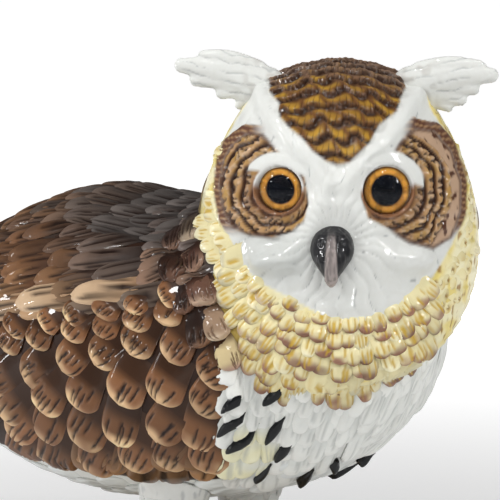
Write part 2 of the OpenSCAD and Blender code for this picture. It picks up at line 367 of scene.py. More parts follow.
faceOutline = np.array([(-30.9, 65.9), (-40, 52.3), (-48.2, 38.6), (-53.6, 25), (-55, 11.4), (-52.7, -2.3),
                        (-48.2, -11.4), (-43.2, -22.3), (-33.6, -30.9), (-20, -37.7), (-2.7, -47.7),
                        (15.5, -45.9), (31.8, -37.7), (41.8, -25.9), (49.5, -13.2), (55, 0), (55.9, 14.5),
                        (50.9, 31.8), (40.9, 46.8), (30.5, 65.9)])
browLines = [np.array([(-34.5, 55.9), (-31.8, 46.8), (-26.8, 38.6), (-20, 30.5), (-11.8, 21.4),
                       (-6.4, 13.2)]),
             np.array([(35.9, 54.1), (30.5, 45.9), (24.5, 36.8), (17.3, 28.6), (8.6, 20.5), (2.7, 13.2)])]
muzzleLines = [np.array([(-9.1, 4.5), (-13.2, -4.5), (-17.3, -12.7), (-24.5, -19.5), (-34.5, -21.4)]),
               np.array([(4.5, 4.5), (10, -4.5), (14.5, -12.7), (22.7, -19.5), (33.6, -20.5)])]


def headSurface():  # a fine grid round the head: columns turn about the upright axis, rows climb
    turns = np.concatenate([np.arange(-78, 78, head["fine"]), np.arange(78, 282, head["coarse"])])
    rises = np.arange(head["low"], head["high"] - 0.5, head["rise"])
    a = np.radians(turns + head["turn"])
    e = np.radians(rises)
    dirs = np.stack([np.cos(e)[:, None] * np.cos(a), np.cos(e)[:, None] * np.sin(a),
                     np.repeat(np.sin(e)[:, None], len(a), axis=1)], axis=-1)
    reach = np.empty(dirs.shape[:2])
    for i in range(dirs.shape[0]):
        for j in range(dirs.shape[1]):
            hit = headTree.ray_cast(Vector(headCentre * mm), Vector(dirs[i, j]))
            reach[i, j] = hit[3] / mm if hit[0] is not None else 55.0
    for _ in range(12):
        reach = (np.roll(reach, 1, 1) + np.roll(reach, -1, 1) + 2 * reach) / 4
        inner = reach.copy()
        inner[1:-1] = (reach[:-2] + reach[2:] + 2 * reach[1:-1]) / 4
        reach = inner
    return dirs, reach


def gridNormals(p):
    across = np.roll(p, -1, 1) - np.roll(p, 1, 1)
    up = np.gradient(p, axis=0)
    n = np.cross(across, up)
    return n / (np.linalg.norm(n, axis=-1, keepdims=True) + 1e-9)


dirs, reach = headSurface()
skin = headCentre + dirs * reach[..., None]
skinNormal = gridNormals(skin)
rowCount, columnCount = skin.shape[:2]
flatSkin = skin.reshape(-1, 3)
rel = flatSkin - headCentre
place = np.stack([rel @ acrossDir, rel @ upDir], axis=-1)
facing = rel @ outDir
front = smooth(0, 12, facing)
grain = softNoise(flatSkin, 5.0)
fineGrain = softNoise(flatSkin, 1.6, 3)

lift = np.zeros(len(flatSkin))
strand = np.zeros(len(flatSkin))
paint = np.tile(np.array(white), (len(flatSkin), 1))

# Crown: wavy overlapping rows from the point between the brows up over the top and down the back.
forward = np.array([math.cos(math.radians(head["turn"])), math.sin(math.radians(head["turn"])), 0])
sideways = np.array([-forward[1], forward[0], 0])
lateral = rel @ sideways
climb = np.degrees(np.arctan2(rel[:, 2], rel @ forward))
crownRow = (np.radians(climb) * 63 + 0.5) / crown["row"]
crownRow += 0.17 * np.sin(lateral / 2.15 + 1.1 * np.floor(climb / 7))
crownRow += 0.08 * grain
lump = lateral / crown["lump"] + 0.5 * crownRow + 0.2 * grain
lumpPart = np.abs(lump - np.floor(lump) - 0.5) * 2
crownRow = crownRow - 0.30 * lumpPart ** 2
rowIndex = np.floor(crownRow)
rowPart = crownRow - rowIndex
rowHeight = smooth(0, 0.13, rowPart) * (1 - 0.8 * smooth(0.25, 1, rowPart))
lumpHeight = 1 - 0.55 * lumpPart ** 3
flute = np.abs(np.sin(lateral / crown["flute"] * math.pi + rowIndex * 1.7 + 0.8 * grain))
crownMask = np.where(facing > -8, smooth(0.8, -0.8, outlineDistance(place, crownOutline)), 0)
lift += crownMask * (crown["high"] * rowHeight * lumpHeight + crown["fluteHigh"] * flute * rowHeight - 0.3)
gold, crownBrown, crownDark = (0.46, 0.26, 0.035), (0.15, 0.065, 0.022), (0.03, 0.012, 0.006)
goldness = smooth(0.12, 0.45, rowPart) * (1 - smooth(0.62, 0.95, rowPart)) * smooth(0.95, 0.4, lumpPart)
goldness *= 0.55 + 0.45 * smooth(-0.4, 0.4, grain)
goldness *= 1 - 0.55 * smooth(70, 88, climb)
crownColour = mix(crownBrown, gold, goldness)
crownColour = mix(crownColour, (0.30, 0.22, 0.17), 0.55 * smooth(62, 85, climb) * (1 - goldness))
crownColour = mix(crownColour, crownDark, np.maximum(1 - smooth(0.04, 0.2, rowPart),
                                                     0.8 * smooth(0.72, 1, rowPart)))
crownColour = mix(crownColour, crownDark, 0.8 * smooth(0.38, 0.05, flute) * smooth(0.95, 0.3, rowPart))

# Face: discs of ribs round the eyes.
tan, ochre, discDark = (0.46, 0.27, 0.12), (0.42, 0.25, 0.07), (0.028, 0.010, 0.005)
for eye, outline in zip(eyes, discOutlines):
    gap = outlineDistance(place, outline)
    zone = smooth(0.7, -0.7, gap) * front
    d = place - eye["at"]
    ring = np.hypot(d[:, 0], d[:, 1]) - eye["r"] + 0.5 * grain + 1.8 * softNoise(flatSkin, 7.0, 15)
    angle = np.arctan2(d[:, 1], -d[:, 0] * -eye["side"])
    rib = (ring - 1.6) / disc["rib"]
    ribIndex = np.floor(rib)
    ribPart = rib - ribIndex
    ribHeight = np.clip(np.sin(np.clip(ribPart, 0, 1) * math.pi), 0, 1) ** 0.55
    arc = angle * (ring + eye["r"])
    notch = arc / 4.0 + hashNoise(ribIndex + 5 * eye["side"]) * 3 + 0.8 * grain
    notchPart = np.abs(notch - np.floor(notch) - 0.5) * 2
    notchDeep = smooth(0.35, 0.7, notchPart) * smooth(0.2, 0.75, ribPart + 0.6 * fineGrain)
    ribLift = (disc["high"] * ribHeight - disc["notch"] * notchDeep * ribHeight
               + disc["rough"] * grain * ribHeight)
    lift += zone * ribLift
    lift -= zone * disc["sunk"] * smooth(16, 2, ring)
    ribColour = mix(tan, ochre, smooth(-0.3, 0.5, softNoise(flatSkin, 4.0, 9)) * 0.8)
    crest = smooth(0.6, 1, ribHeight) * smooth(0, 0.6, fineGrain + 0.2)
    ribColour = mix(ribColour, (0.66, 0.50, 0.36), 0.5 * crest)
    ribColour = mix(ribColour, (0.13, 0.05, 0.02), 0.8 * smooth(0.95, 0.6, ribHeight))
    ribColour = mix(ribColour, discDark, smooth(0.75, 0.45, ribHeight))
    ribColour = mix(ribColour, (0.13, 0.055, 0.03), 0.6 * smooth(8, 1, ring))
    ribColour = mix(ribColour, discDark, 0.95 * notchDeep * smooth(-0.7, 0.0, softNoise(flatSkin, 2.2, 4)))
    if eye["side"] > 0:  # a smooth pink-tan band with spots closes the left disc
        band = smooth(17.6, 18.6, ring + 0.05 * d[:, 1])
        spots = smooth(0.3, 0.55, softNoise(flatSkin, 2.4, 6))
        bandColour = mix((0.50, 0.34, 0.23), (0.09, 0.035, 0.02), spots)
        ribColour = mix(ribColour, bandColour, band)
        lift -= zone * band * (ribLift - 1.3)
    paint = mix(paint, ribColour, zone)
    edge = smooth(1.7, 0.4, np.abs(gap + 0.2)) * front * smooth(2, 6, ring)
    paint = mix(paint, (0.10, 0.045, 0.025), 0.75 * edge * smooth(-4, 4, d[:, 0] * eye["side"] - 2))
    # outer rim of the disc, brown with light notches
    outer = smooth(5.2, 3.8, gap) * smooth(-0.2, 0.6, gap) * front * smooth(4, 12, d[:, 0] * eye["side"])
    outer *= smooth(-22, -14, d[:, 1])
    rimNotch = smooth(0.5, 0.9, np.abs(np.mod(d[:, 1] / 2.6 + 0.4 * grain, 1) - 0.5) * 2)
    paint = mix(paint, mix((0.12, 0.05, 0.03), (0.45, 0.28, 0.14), 0.7 * rimNotch), outer)
    lift += outer * (1.2 + 0.3 * rimNotch)

# Brows, nose bridge, muzzle puffs and cheeks, all white with fine grey strokes.
faceGap = outlineDistance(place, faceOutline)
for line in browLines:
    lift += face["brow"] * smooth(face["browWide"], 0, lineDistance(place, line)) * front
bridge = np.hypot((place[:, 0] + 4.5) / 9, (place[:, 1] - 3) / 17)
lift += face["bridge"] * smooth(1.2, 0.1, bridge) * front
for line in muzzleLines:
    lift += face["muzzle"] * smooth(face["muzzleWide"], 0, lineDistance(place, line)) * front
for centre, wide, tall, high in (((-16.4, -21.4), 14, 9, 2.2), ((16.4, -21.4), 15, 9, 2.2),
                                 ((-34.5, -21.4), 13, 8, 2.4), ((37.3, -19.5), 13, 8, 2.4),
                                 ((-1.8, -40.9), 14, 7, 1.0)):
    puff = np.hypot((place[:, 0] - centre[0]) / wide, (place[:, 1] - centre[1]) / tall)
    lift += high * smooth(1.3, 0.0, puff) * front * smooth(1, -6, faceGap)
muzzle = (-3.6, -11.4)
spoke = np.arctan2(place[:, 1] - muzzle[1], place[:, 0] - muzzle[0])
spokeR = np.hypot(place[:, 0] - muzzle[0], place[:, 1] - muzzle[1])
hairPhase = spoke * 13 + 0.7 * np.sin(spokeR / 4.0) + 1.3 * softNoise(flatSkin, 7.0, 2)
hair = np.abs(np.sin(hairPhase)) ** 0.5
hairZone = smooth(0.5, -1.5, faceGap) * front * (1 - crownMask)
lift += face["stroke"] * (hair - 1) * hairZone * smooth(6, 14, spokeR)
greyLine = smooth(0.45, 0.12, hair) * hairZone * smooth(7, 15, spokeR) * smooth(-0.1, 0.5,
                                                                                softNoise(flatSkin, 3.2, 5))
whiteOnly = np.ones(len(flatSkin))
for outline in discOutlines:
    whiteOnly *= smooth(-0.5, 1.0, outlineDistance(place, outline))
paint = mix(paint, (0.26, 0.28, 0.28), 0.7 * greyLine * whiteOnly)
# Painted shade: a soft grey wash over the left cheek puff.
cheekShade = smooth(1.3, 0.3, np.hypot((place[:, 0] + 28) / 22, (place[:, 1] + 20) / 14)) * front
paint = mix(paint, (0.50, 0.52, 0.50), 0.6 * cheekShade * whiteOnly)
strand += hair * hairZone * 0.5

# Eye sockets and lids.
for eye in eyes:
    d = place - eye["at"]
    r = np.hypot(d[:, 0], d[:, 1])
    outward = d[:, 0] * eye["side"]
    lid = smooth(eye["r"] + 5.4, eye["r"] + 3.6, np.hypot(d[:, 0] - 1.2 * eye["side"], d[:, 1] - 2.2)) \
        * smooth(6.6, 8.4, d[:, 1] + (0.38 if eye["side"] > 0 else -0.1) * outward) * front
    lift = np.where(r < eye["r"] + 9, lift * (1 - lid) + lid * 1.3, lift)
    paint = mix(paint, white, lid)
    rimBand = smooth(eye["r"] + 2.0, eye["r"] + 1.0, r) * front
    lift = lift * (1 - rimBand) + rimBand * 0.7
    rimColour = mix((0.80, 0.80, 0.78), (0.28, 0.13, 0.06), smooth(3, -1, d[:, 1] - 0.1 * outward))
    paint = mix(paint, rimColour, rimBand * 0.9)
    inner = smooth(eye["r"] + 0.55, eye["r"] - 0.15, r) * front
    lift = lift * (1 - inner) - 4.6 * inner
    paint = mix(paint, (0.10, 0.04, 0.02), inner)
paint = mix(paint, crownColour, crownMask)

# Behind the face: yellow lower down, brown up the back.
behind = smooth(-0.2, 0.9, faceGap) * (1 - crownMask)
behind = np.where(front < 0.5, 1 - crownMask, behind)
yellow, paleYellow = (0.80, 0.66, 0.22), (0.86, 0.80, 0.52)
sideYellow = mix(paleYellow, yellow, smooth(-0.4, 0.5, softNoise(flatSkin, 6.0, 8)))
dash = smooth(0.42, 0.62, softNoise(flatSkin * np.array([1, 1, 0.55]), 1.9, 12))
dash = dash * smooth(0, 10, place[:, 0])
sideYellow = mix(sideYellow, (0.36, 0.20, 0.05), 0.9 * dash)
napeBrown = mix((0.10, 0.055, 0.035), (0.26, 0.15, 0.08), smooth(-0.4, 0.5, grain))
sideYellow = mix(sideYellow, napeBrown, smooth(-6, -22, facing))
paint = mix(paint, sideYellow, behind)
sideRows = np.mod(place[:, 1] / 6.5 + 0.25 * np.sin(place[:, 0] / 2.0), 1)
lift += behind * front * (0.7 * sideRows - 0.4 * dash)

finished = flatSkin + skinNormal.reshape(-1, 3) * lift[:, None]
top = finished.reshape(rowCount, columnCount, 3)
cap = top[-1].mean(axis=0)
base = top[0].mean(axis=0)
verts = np.vstack([finished, [cap, base]])
faces = []
for i in range(rowCount - 1):
    a = i * columnCount
    for j in range(columnCount):
        k = (j + 1) % columnCount
        faces.append((a + j, a + k, a + columnCount + k, a + columnCount + j))
last = (rowCount - 1) * columnCount
for j in range(columnCount):
    k = (j + 1) % columnCount
    faces.append((last + j, last + k, rowCount * columnCount))
    faces.append((k, j, rowCount * columnCount + 1))
headSkin = newObject("head_skin", verts, faces)
headSkin.data.shade_smooth()
paintFull = np.vstack([paint, paint[-1:], paint[:1]])
paintOn(headSkin, paintFull, np.append(strand, [0, 0]))
headSkin.data.materials.append(paintedGlaze("painted face glaze"))
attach(headSkin, "root")
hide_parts("head_shell")
print("head", len(headSkin.data.polygons))

# How far the ruff reaches at each turn about the face, inner and outer edge, in degrees and millimetres.
ruffCentre = np.array([0, 4.55])
innerTable = [(150, 55.45), (165, 55.45), (180, 54.09), (195, 53.18), (210, 52.27), (225, 50.9),
              (240, 48.63), (255, 49.54), (270, 53.63), (285, 53.63), (300, 53.18), (315, 54.09),
              (330, 54.54), (345, 55.9), (362, 57.27)]
outerTable = [(150, 63.18), (165, 64.08), (180, 64.08), (195, 65.9), (207, 68.17), (218, 71.81),
              (230, 80.9), (240, 88.17), (255, 89.54), (270, 87.26), (285, 84.99), (300, 77.27),
              (315, 68.17), (330, 66.36), (345, 65.9), (362, 64.54)]

# The body's skin, dark under the wings' feathers and golden under the ruff.
bodySkin = bodyGuide
bodySkin.name = "body_skin"
bodyPoints = points(bodySkin)
bodyX, bodyY, bodyZ = bodyPoints.T
wingZone = smooth(0, 6, np.abs(bodyY) - 40) * smooth(82, 74, bodyX) * smooth(88, 94, bodyZ)
backSide = smooth(180, 195, bodyZ)
rear = smooth(-120, -150, bodyX)
between = smooth(0, -30, bodyX) * smooth(112, 128, bodyZ)
dark = np.clip(wingZone + backSide + rear + between, 0, 1)
bodyPaint = mix(white, (0.028, 0.012, 0.007), dark)
fromHead = bodyPoints - headCentre
spot = np.stack([fromHead @ acrossDir, fromHead @ upDir], axis=-1) - ruffCentre
turnAt = np.degrees(np.arctan2(spot[:, 1], spot[:, 0])) % 360
ruffReach = np.interp(turnAt, *zip(*outerTable))
underRuff = smooth(0.9, -3.6, np.hypot(spot[:, 0], spot[:, 1]) - ruffReach)
underRuff = underRuff * smooth(-25, -15, fromHead @ outDir) * smooth(196, 204, turnAt)
bodyPaint = mix(bodyPaint, (0.70, 0.52, 0.14), underRuff)
paintOn(bodySkin, bodyPaint, np.zeros(len(bodyPoints)))
bodySkin.data.materials.append(paintedGlaze("painted body glaze", coat=0.15))
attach(bodySkin, "root")
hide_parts("body_shell", "wing_left", "wing_right", "tail_fan")


def featherShape(name, across, along, shoulder=0.6, root=0.6, point=2.0, sink=0.25):
    t = np.linspace(-1, 1, across + 1)
    us = 0.6 * t + 0.4 * np.sin(t * math.pi / 2)
    lowCount = max(3, along // 3)
    low = np.linspace(0, shoulder, lowCount + 1)[:-1]
    bend = np.linspace(0, math.radians(84), along - lowCount + 1)
    vs = np.concatenate([low, shoulder + (1 - shoulder) * np.sin(bend)])
    wide = np.concatenate([root + (1 - root) * smooth(0, shoulder, low), np.cos(bend) ** (2 / point)])
    u, v = np.meshgrid(us, vs)
    w = np.repeat(wide[:, None], across + 1, axis=1)
    h = ((1 + sink) * smooth(0, 0.8,
                             v) - sink) * (1 - 0.25 * u ** 2 - 0.45 * u ** 8) * (1 - 0.5 * smooth(0.86, 1,
                                                                                                  v) ** 2)
    rows, cols = u.shape
    at = [(u[i, j] * w[i, j] * 0.5, v[i, j], 0.0) for i in range(rows) for j in range(cols)]
    fu, fv, fh = list(u.ravel()), list(v.ravel()), list(h.ravel())
    faces = [(i * cols + j, i * cols + j + 1, (i + 1) * cols + j + 1, (i + 1) * cols + j)
             for i in range(rows - 1) for j in range(cols - 1)]
    rim = [i * cols for i in range(rows)] + [(rows - 1) * cols + j for j in range(1, cols)] \
        + [i * cols + cols - 1 for i in range(rows - 2, -1, -1)]
    first = len(at)
    for k in rim:  # a skirt that goes down into the surface below
        at.append(at[k])
        fu.append(fu[k])
        fv.append(fv[k])
        fh.append(-0.35)
    for k in range(len(rim) - 1):
        faces.append((rim[k + 1], rim[k], first + k, first + k + 1))
    mesh = bpy.data.meshes.new(name)
    mesh.from_pydata(at, [], faces)
    ob = linked(name, mesh)
    for key, values in (("fu", fu), ("fv", fv), ("fh", fh)):
        paintAttribute(ob, key, np.array(values))
    return ob


# Geometry nodes: a feather on each point, turned and stretched, then pressed on to the surface.
def plumageTree(name):
    tree = bpy.data.node_groups.new(name, "GeometryNodeTree")
    face = tree.interface
    face.new_socket("Points", in_out="INPUT", socket_type="NodeSocketGeometry")
    for label, kind in (("Feather", "NodeSocketObject"), ("Surface", "NodeSocketObject"),
                        ("Glaze", "NodeSocketMaterial")):
        face.new_socket(label, in_out="INPUT", socket_type=kind)
    face.new_socket("Plumage", in_out="OUTPUT", socket_type="NodeSocketGeometry")
    add, wire = tree.nodes.new, tree.links.new

    def named(key, kind):
        n = add("GeometryNodeInputNamedAttribute")
        n.data_type = kind
        n.inputs["Name"].default_value = key
        return n.outputs["Attribute"]

    source, sink = add("NodeGroupInput"), add("NodeGroupOutput")
    feather, surface = add("GeometryNodeObjectInfo"), add("GeometryNodeObjectInfo")
    wire(source.outputs["Feather"], feather.inputs["Object"])
    wire(source.outputs["Surface"], surface.inputs["Object"])
    instance = add("GeometryNodeInstanceOnPoints")
    wire(source.outputs["Points"], instance.inputs["Points"])
    wire(feather.outputs["Geometry"], instance.inputs["Instance"])
    turn = add("FunctionNodeEulerToRotation")
    wire(named("turn", "FLOAT_VECTOR"), turn.inputs[0])
    wire(turn.outputs[0], instance.inputs["Rotation"])
    wire(named("stretch", "FLOAT_VECTOR"), instance.inputs["Scale"])
    realize = add("GeometryNodeRealizeInstances")
    wire(instance.outputs["Instances"], realize.inputs["Geometry"])
    place, lay = add("GeometryNodeSampleNearestSurface"), add("GeometryNodeSampleNearestSurface")
    for n, value in ((place, add("GeometryNodeInputPosition").outputs[0]),
                     (lay, named("lay", "FLOAT_VECTOR"))):
        n.data_type = "FLOAT_VECTOR"
        wire(surface.outputs["Geometry"], n.inputs["Mesh"])
        wire(value, n.inputs["Value"])
    height = add("ShaderNodeMath")
    height.operation = "MULTIPLY"
    wire(named("fh", "FLOAT"), height.inputs[0])
    wire(named("rise", "FLOAT"), height.inputs[1])
    push = add("ShaderNodeVectorMath")
    push.operation = "SCALE"
    wire(lay.outputs["Value"], push.inputs[0])
    wire(height.outputs[0], push.inputs["Scale"])
    total = add("ShaderNodeVectorMath")
    wire(place.outputs["Value"], total.inputs[0])
    wire(push.outputs[0], total.inputs[1])
    press = add("GeometryNodeSetPosition")
    wire(realize.outputs["Geometry"], press.inputs["Geometry"])
    wire(total.outputs[0], press.inputs["Position"])
    soft = add("GeometryNodeSetShadeSmooth")
    wire(press.outputs["Geometry"], soft.inputs["Geometry"])
    glaze = add("GeometryNodeSetMaterial")
    wire(soft.outputs["Geometry"], glaze.inputs["Geometry"])
    wire(source.outputs["Glaze"], glaze.inputs["Material"])
    wire(glaze.outputs["Geometry"], sink.inputs["Plumage"])
    return tree


pressTree = plumageTree("lay feathers")


def carveFeathers(ob, look):
    u, v, fid, h = (attributeOf(ob, k) for k in ("fu", "fv", "fid", "fh"))
    tone, edge = attributeOf(ob, "tone", 4)[:, :3], attributeOf(ob, "edge", 4)[:, :3]
    p, n = points(ob), normals(ob)
    cloud = softNoise(p, look.get("cloud", 7.0))
    colour = mix(tone, edge, smooth(look["tipFrom"], look["tipTo"], v + 0.16 * cloud))
    groove = np.zeros(len(u))
    for k in range(look["strokes"]):  # short carved strokes along the barbs, different on each feather
        key = fid * 97.0 + k * 13.7
        at = (k + 0.5) / look["strokes"] * 1.7 - 0.85 + 0.3 * (hashNoise(key) - 0.5)
        start = look["start"] + 0.22 * hashNoise(key + 1)
        end = start + look["length"] * (0.5 + 0.5 * hashNoise(key + 2))
        across = u - at - look["slant"] * (v - start) * (0.6 + 0.8 * hashNoise(key + 4))
        one = smooth(look["width"], 0.3 * look["width"], np.abs(across))
        one = one * smooth(start, start + 0.05, v) * smooth(end, end - 0.08, v)
        groove = np.maximum(groove, one * (hashNoise(key + 3) > look.get("missing", 0.15)))
    groove = groove * smooth(1.0, 0.86, np.abs(u)) * smooth(0.985, 0.92, v)
    if "bars" in look:
        bar = np.abs(np.mod(v * look["bars"] + 0.15 * cloud + 0.4 * fid, 1) - 0.5) * 2
        colour = mix(colour, look["dark"], 0.8 * smooth(0.45, 0.7, bar) * smooth(0.2, 0.4, v))
    colour = mix(colour, look["dark"], look["stain"] * groove)
    # Each feather's rims are painted lighter: partly the feather's pale edge, partly a painted highlight.
    lit = smooth(0.72, 0.9, np.maximum(np.abs(u), v)) * smooth(0.5, 0.8, v)
    colour = mix(colour, np.minimum(colour * 1.5 + 0.02, 0.9), look.get("rim", 0.35) * lit)
    rootTo = look.get("rootTo", 0.22)  # how far up the painted shade and crevice colour at the root reaches
    # Painted shade in the look's dark colour where each feather sinks under the row above and down its skirt;
    # on the ruff that colour is the golden glaze of the crevices.
    shadeAndCrevice = np.maximum(smooth(0.08, -0.3, h), 0.85 * smooth(rootTo, rootTo - 0.26, v))
    colour = mix(colour, look["dark"], shadeAndCrevice)
    movePoints(ob, p - n * (look["depth"] * groove)[:, None])
    paintOn(ob, colour, 0.4 * cloud)


def plumage(name, feathers, shape, surface, look, replaced, slot):
    mesh = bpy.data.meshes.new(name)
    mesh.from_pydata([tuple(f["root"] * mm) for f in feathers], [], [])
    ob = linked(name, mesh)
    turns, stretches = [], []
    for f in feathers:
        along = f["tip"] - f["root"]
        length = np.linalg.norm(along)
        y = along / length
        z = f["normal"] - y * (f["normal"] @ y)
        z /= np.linalg.norm(z)
        x = np.cross(y, z)
        turns.append(tuple(Matrix(np.stack([x, y, z], axis=1).tolist()).to_euler()))
        stretches.append((f["wide"] * mm, length * mm, 1.0))
    paintAttribute(ob, "turn", np.array(turns))
    paintAttribute(ob, "stretch", np.array(stretches))
    paintAttribute(ob, "rise", np.array([f["rise"] * mm for f in feathers]))
    paintAttribute(ob, "fid", hashNoise(np.arange(len(feathers)) + 3))
    for key in ("tone", "edge"):
        paintAttribute(ob, key, np.array([(*f[key], 1.0) for f in feathers]))
    mod = ob.modifiers.new("feathers", "NODES")
    mod.node_group = pressTree
    for item in pressTree.interface.items_tree:
        if item.in_out == "INPUT" and item.name in ("Feather", "Surface", "Glaze"):
            mod[item.identifier] = {"Feather": shape, "Surface": surface,
                                    "Glaze": featherGlazes[slot]}[item.name]
    applied(ob)
    carveFeathers(ob, look)
    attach(ob, "root")
    if replaced:
        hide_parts(*replaced)
    print(name, len(feathers), "feathers", len(ob.data.polygons), "faces")
    return ob


for ob in (bodyGuide, headGuide, ruffGuide):
    paintAttribute(ob, "lay", normals(ob))


def laid(a, b, wide, rise, tone, edge):
    if a is None or b is None or np.linalg.norm(a[0] - b[0]) < 3:
        return []
    return [dict(root=a[0], tip=b[0], normal=a[1], wide=wide, rise=rise, tone=tone, edge=edge)]


def fromFront(tree, root, tip, *rest):
    return laid(castFront(tree, *root), castFront(tree, *tip), *rest)


def fromSide(tree, root, tip, *rest):  # places given as (x, z), seen from the figure's right
    return laid(*(cast(tree, (p[0], -300, p[1]), (0, 1, 0)) for p in (root, tip)), *rest)


def fromAbove(tree, root, tip, *rest):  # places given as (x, y)
    return laid(*(cast(tree, (p[0], p[1], 500), (0, 0, -1)) for p in (root, tip)), *rest)


def fromBelow(tree, root, tip, *rest):
    return laid(*(cast(tree, (p[0], p[1], -100), (0, 0, 1)) for p in (root, tip)), *rest)


def castTurn(tree, centre, turn, climb):  # inwards on to a centre from a turn and a climb in degrees
    a, e = math.radians(turn), math.radians(climb)
    d = np.array([math.cos(a) * math.cos(e), math.sin(a) * math.cos(e), math.sin(e)])
    return cast(tree, np.array(centre) + d * 400, -d)


def mirrored(feathers):
    flip = np.array([1, -1, 1])
    return [{**f, "root": f["root"] * flip, "tip": f["tip"] * flip,
             "normal": f["normal"] * flip} for f in feathers]


def shade(colour, amount, key):
    k = 1 + amount * (hashNoise(key) * 2 - 1)
    return tuple(float(np.clip(c * k, 0, 1)) for c in colour)


def jitter(key, amount):
    return amount * float(hashNoise(key) * 2 - 1)


featherGlazes = {"brown_glaze": paintedGlaze("brown feather glaze", 0.10, 0.28),
                 "white_glaze": paintedGlaze("white feather glaze", 0.10)}
covertShape = featherShape("covert", 28, 34, shoulder=0.7, root=0.92, sink=-0.05)
longShape = featherShape("long feather", 10, 18, shoulder=0.72, root=0.75, sink=0.1)
smallShape = featherShape("small feather", 8, 12, shoulder=0.55, root=0.6)
ruffShape = featherShape("ruff feather", 12, 16, shoulder=0.62, root=0.85, point=2.3, sink=0.1)
flameShape = featherShape("flame", 6, 10, shoulder=0.45, root=0.15, point=1.3, sink=-0.5)

# Wing coverts: rows of tips from the wing's front edge to the rear.
coverts = dict(
    rows=[
        dict(tips=[(-79.1, -40), (-92.7, -44.1), (-106.4, -46.4), (-120, -48.2), (-134.5, -50.4),
                   (-149.1, -53.2), (-163.6, -55.9), (-178.2, -58.6)],
             along=(-0.5, -0.86), length=13.6, wide=16.5, gap=14.54),
        dict(tips=[(-77.3, -50.4), (-84.1, -50.9), (-96.4, -53.6), (-108.6, -56.4), (-121.8, -58.2),
                   (-135.4, -61.4), (-150, -63.6), (-164.5, -66.4), (-179.1, -69.5), (-193.6, -73.2),
                   (-207.3, -77.7), (-221.8, -81.4)], along=(-0.42, -0.9), length=16.4, wide=17, gap=15.45),
        dict(tips=[(-60.4, -74.5), (-75.4, -65.9), (-90, -63.2), (-104.5, -66.8), (-119.1, -69.5),
                   (-133.6, -74.5), (-148.6, -78.2), (-164.5, -81.4), (-180, -84.1), (-195.4, -87.7),
                   (-210.9, -90.4)], along=(-0.62, -0.8), length=21.8, wide=20, gap=17.27),
        dict(tips=[(-63.2, -88.2), (-82.7, -83.2), (-97.3, -84.1), (-111.8, -87.7), (-126.4, -90.4),
                   (-141.8, -92.3), (-158.2, -95), (-174.5, -97.7), (-190, -100.4), (-205.4, -102.3)],
             along=(-0.5, -0.87), length=24.5, wide=21.5, gap=18.63),
        dict(tips=[(-64.5, -104.5), (-75.4, -101.4), (-90.4, -105), (-105, -106.8), (-119.1, -106.8),
                   (-133.2, -105.9), (-147.3, -105), (-162.7, -107.7), (-178.2, -109.5)],
             along=(-0.34, -0.94), length=28.2, wide=20.5, gap=17.73),
        dict(tips=[(-60, -116.4), (-82.7, -114.1), (-97.3, -116.8), (-111.8, -117.7), (-126.4, -116.8),
                   (-140.9, -114.1), (-155.4, -115)],
             along=(-0.3, -0.95), length=27.3, wide=20, gap=17.27)],
    rise=3.3, tone=(0.19, 0.084, 0.036), edge=(0.60, 0.40, 0.22))


def evenly(line, gap):
    line = np.array(line, float)
    run = np.append(0, np.cumsum(np.hypot(*np.diff(line, axis=0).T)))
    at = np.arange(0, run[-1] + 0.5, gap)
    return np.stack([np.interp(at, run, line[:, 0]), np.interp(at, run, line[:, 1])], axis=1)


rightCoverts = []
for r, row in enumerate(coverts["rows"]):
    d = np.array(row["along"]) / np.hypot(*row["along"])
    for k, tip in enumerate(evenly(row["tips"], row["gap"])):
        key = r * 31 + k
        tipAt = tip + (jitter(key, 1.14), -jitter(key + 9, 1.36))
        turn = -math.radians(jitter(key + 4, 12) + 5 * max(0, k - 4))
        turned = np.array([d[0] * math.cos(turn) - d[1] * math.sin(turn),
                           d[0] * math.sin(turn) + d[1] * math.cos(turn)])
        rightCoverts += fromFront(bodyTree, tipAt - turned * row["length"], tipAt,
                                  row["wide"] + jitter(key + 2, 1.6), coverts["rise"] + jitter(key + 6, 0.5),
                                  shade(coverts["tone"], 0.3, key), shade(coverts["edge"], 0.35, key + 7))
print("coverts", len(rightCoverts))

# Flight feathers below and behind the coverts, long and narrow.
flightSize = dict(front=9, low=15, rear=8, long=27.3, wide=14.5, frontWide=13.5, rearWide=13)
flightTone, flightEdge = (0.055, 0.022, 0.010), (0.22, 0.115, 0.05)
flight = []
for k in range(flightSize["front"]):
    t = k / (flightSize["front"] - 1)
    tip = np.array([-62.7 - 113.6 * t, -120.4 + 3.64 * t - 2.73 * math.sin(9 * t)])
    d = np.array([-0.25 - 0.65 * t, -0.95 + 0.6 * t])
    flight += fromFront(bodyTree, tip - d * flightSize["long"], tip, flightSize["frontWide"], 2.2,
                        shade(flightTone, 0.3, k), shade(flightEdge, 0.3, k + 4))
for k in range(flightSize["low"]):
    tip = np.array([-56.4 - 12.27 * k, -115 - 0.68 * k - jitter(k + 70, 1.82)])
    flight += fromFront(bodyTree, tip + (6.4, 23.6), tip, flightSize["wide"], 2.4,
                        shade(flightTone, 0.3, k), shade(flightEdge, 0.3, k + 4))
for k in range(flightSize["rear"]):
    flight += fromSide(bodyTree, (-92 - 5 * k, 112 + 9 * k), (-176 - 9 * k, 98 + 5.5 * k),
                       flightSize["rearWide"], 2.3,
                       shade(flightTone, 0.3, k + 40), shade(flightEdge, 0.3, k + 44))

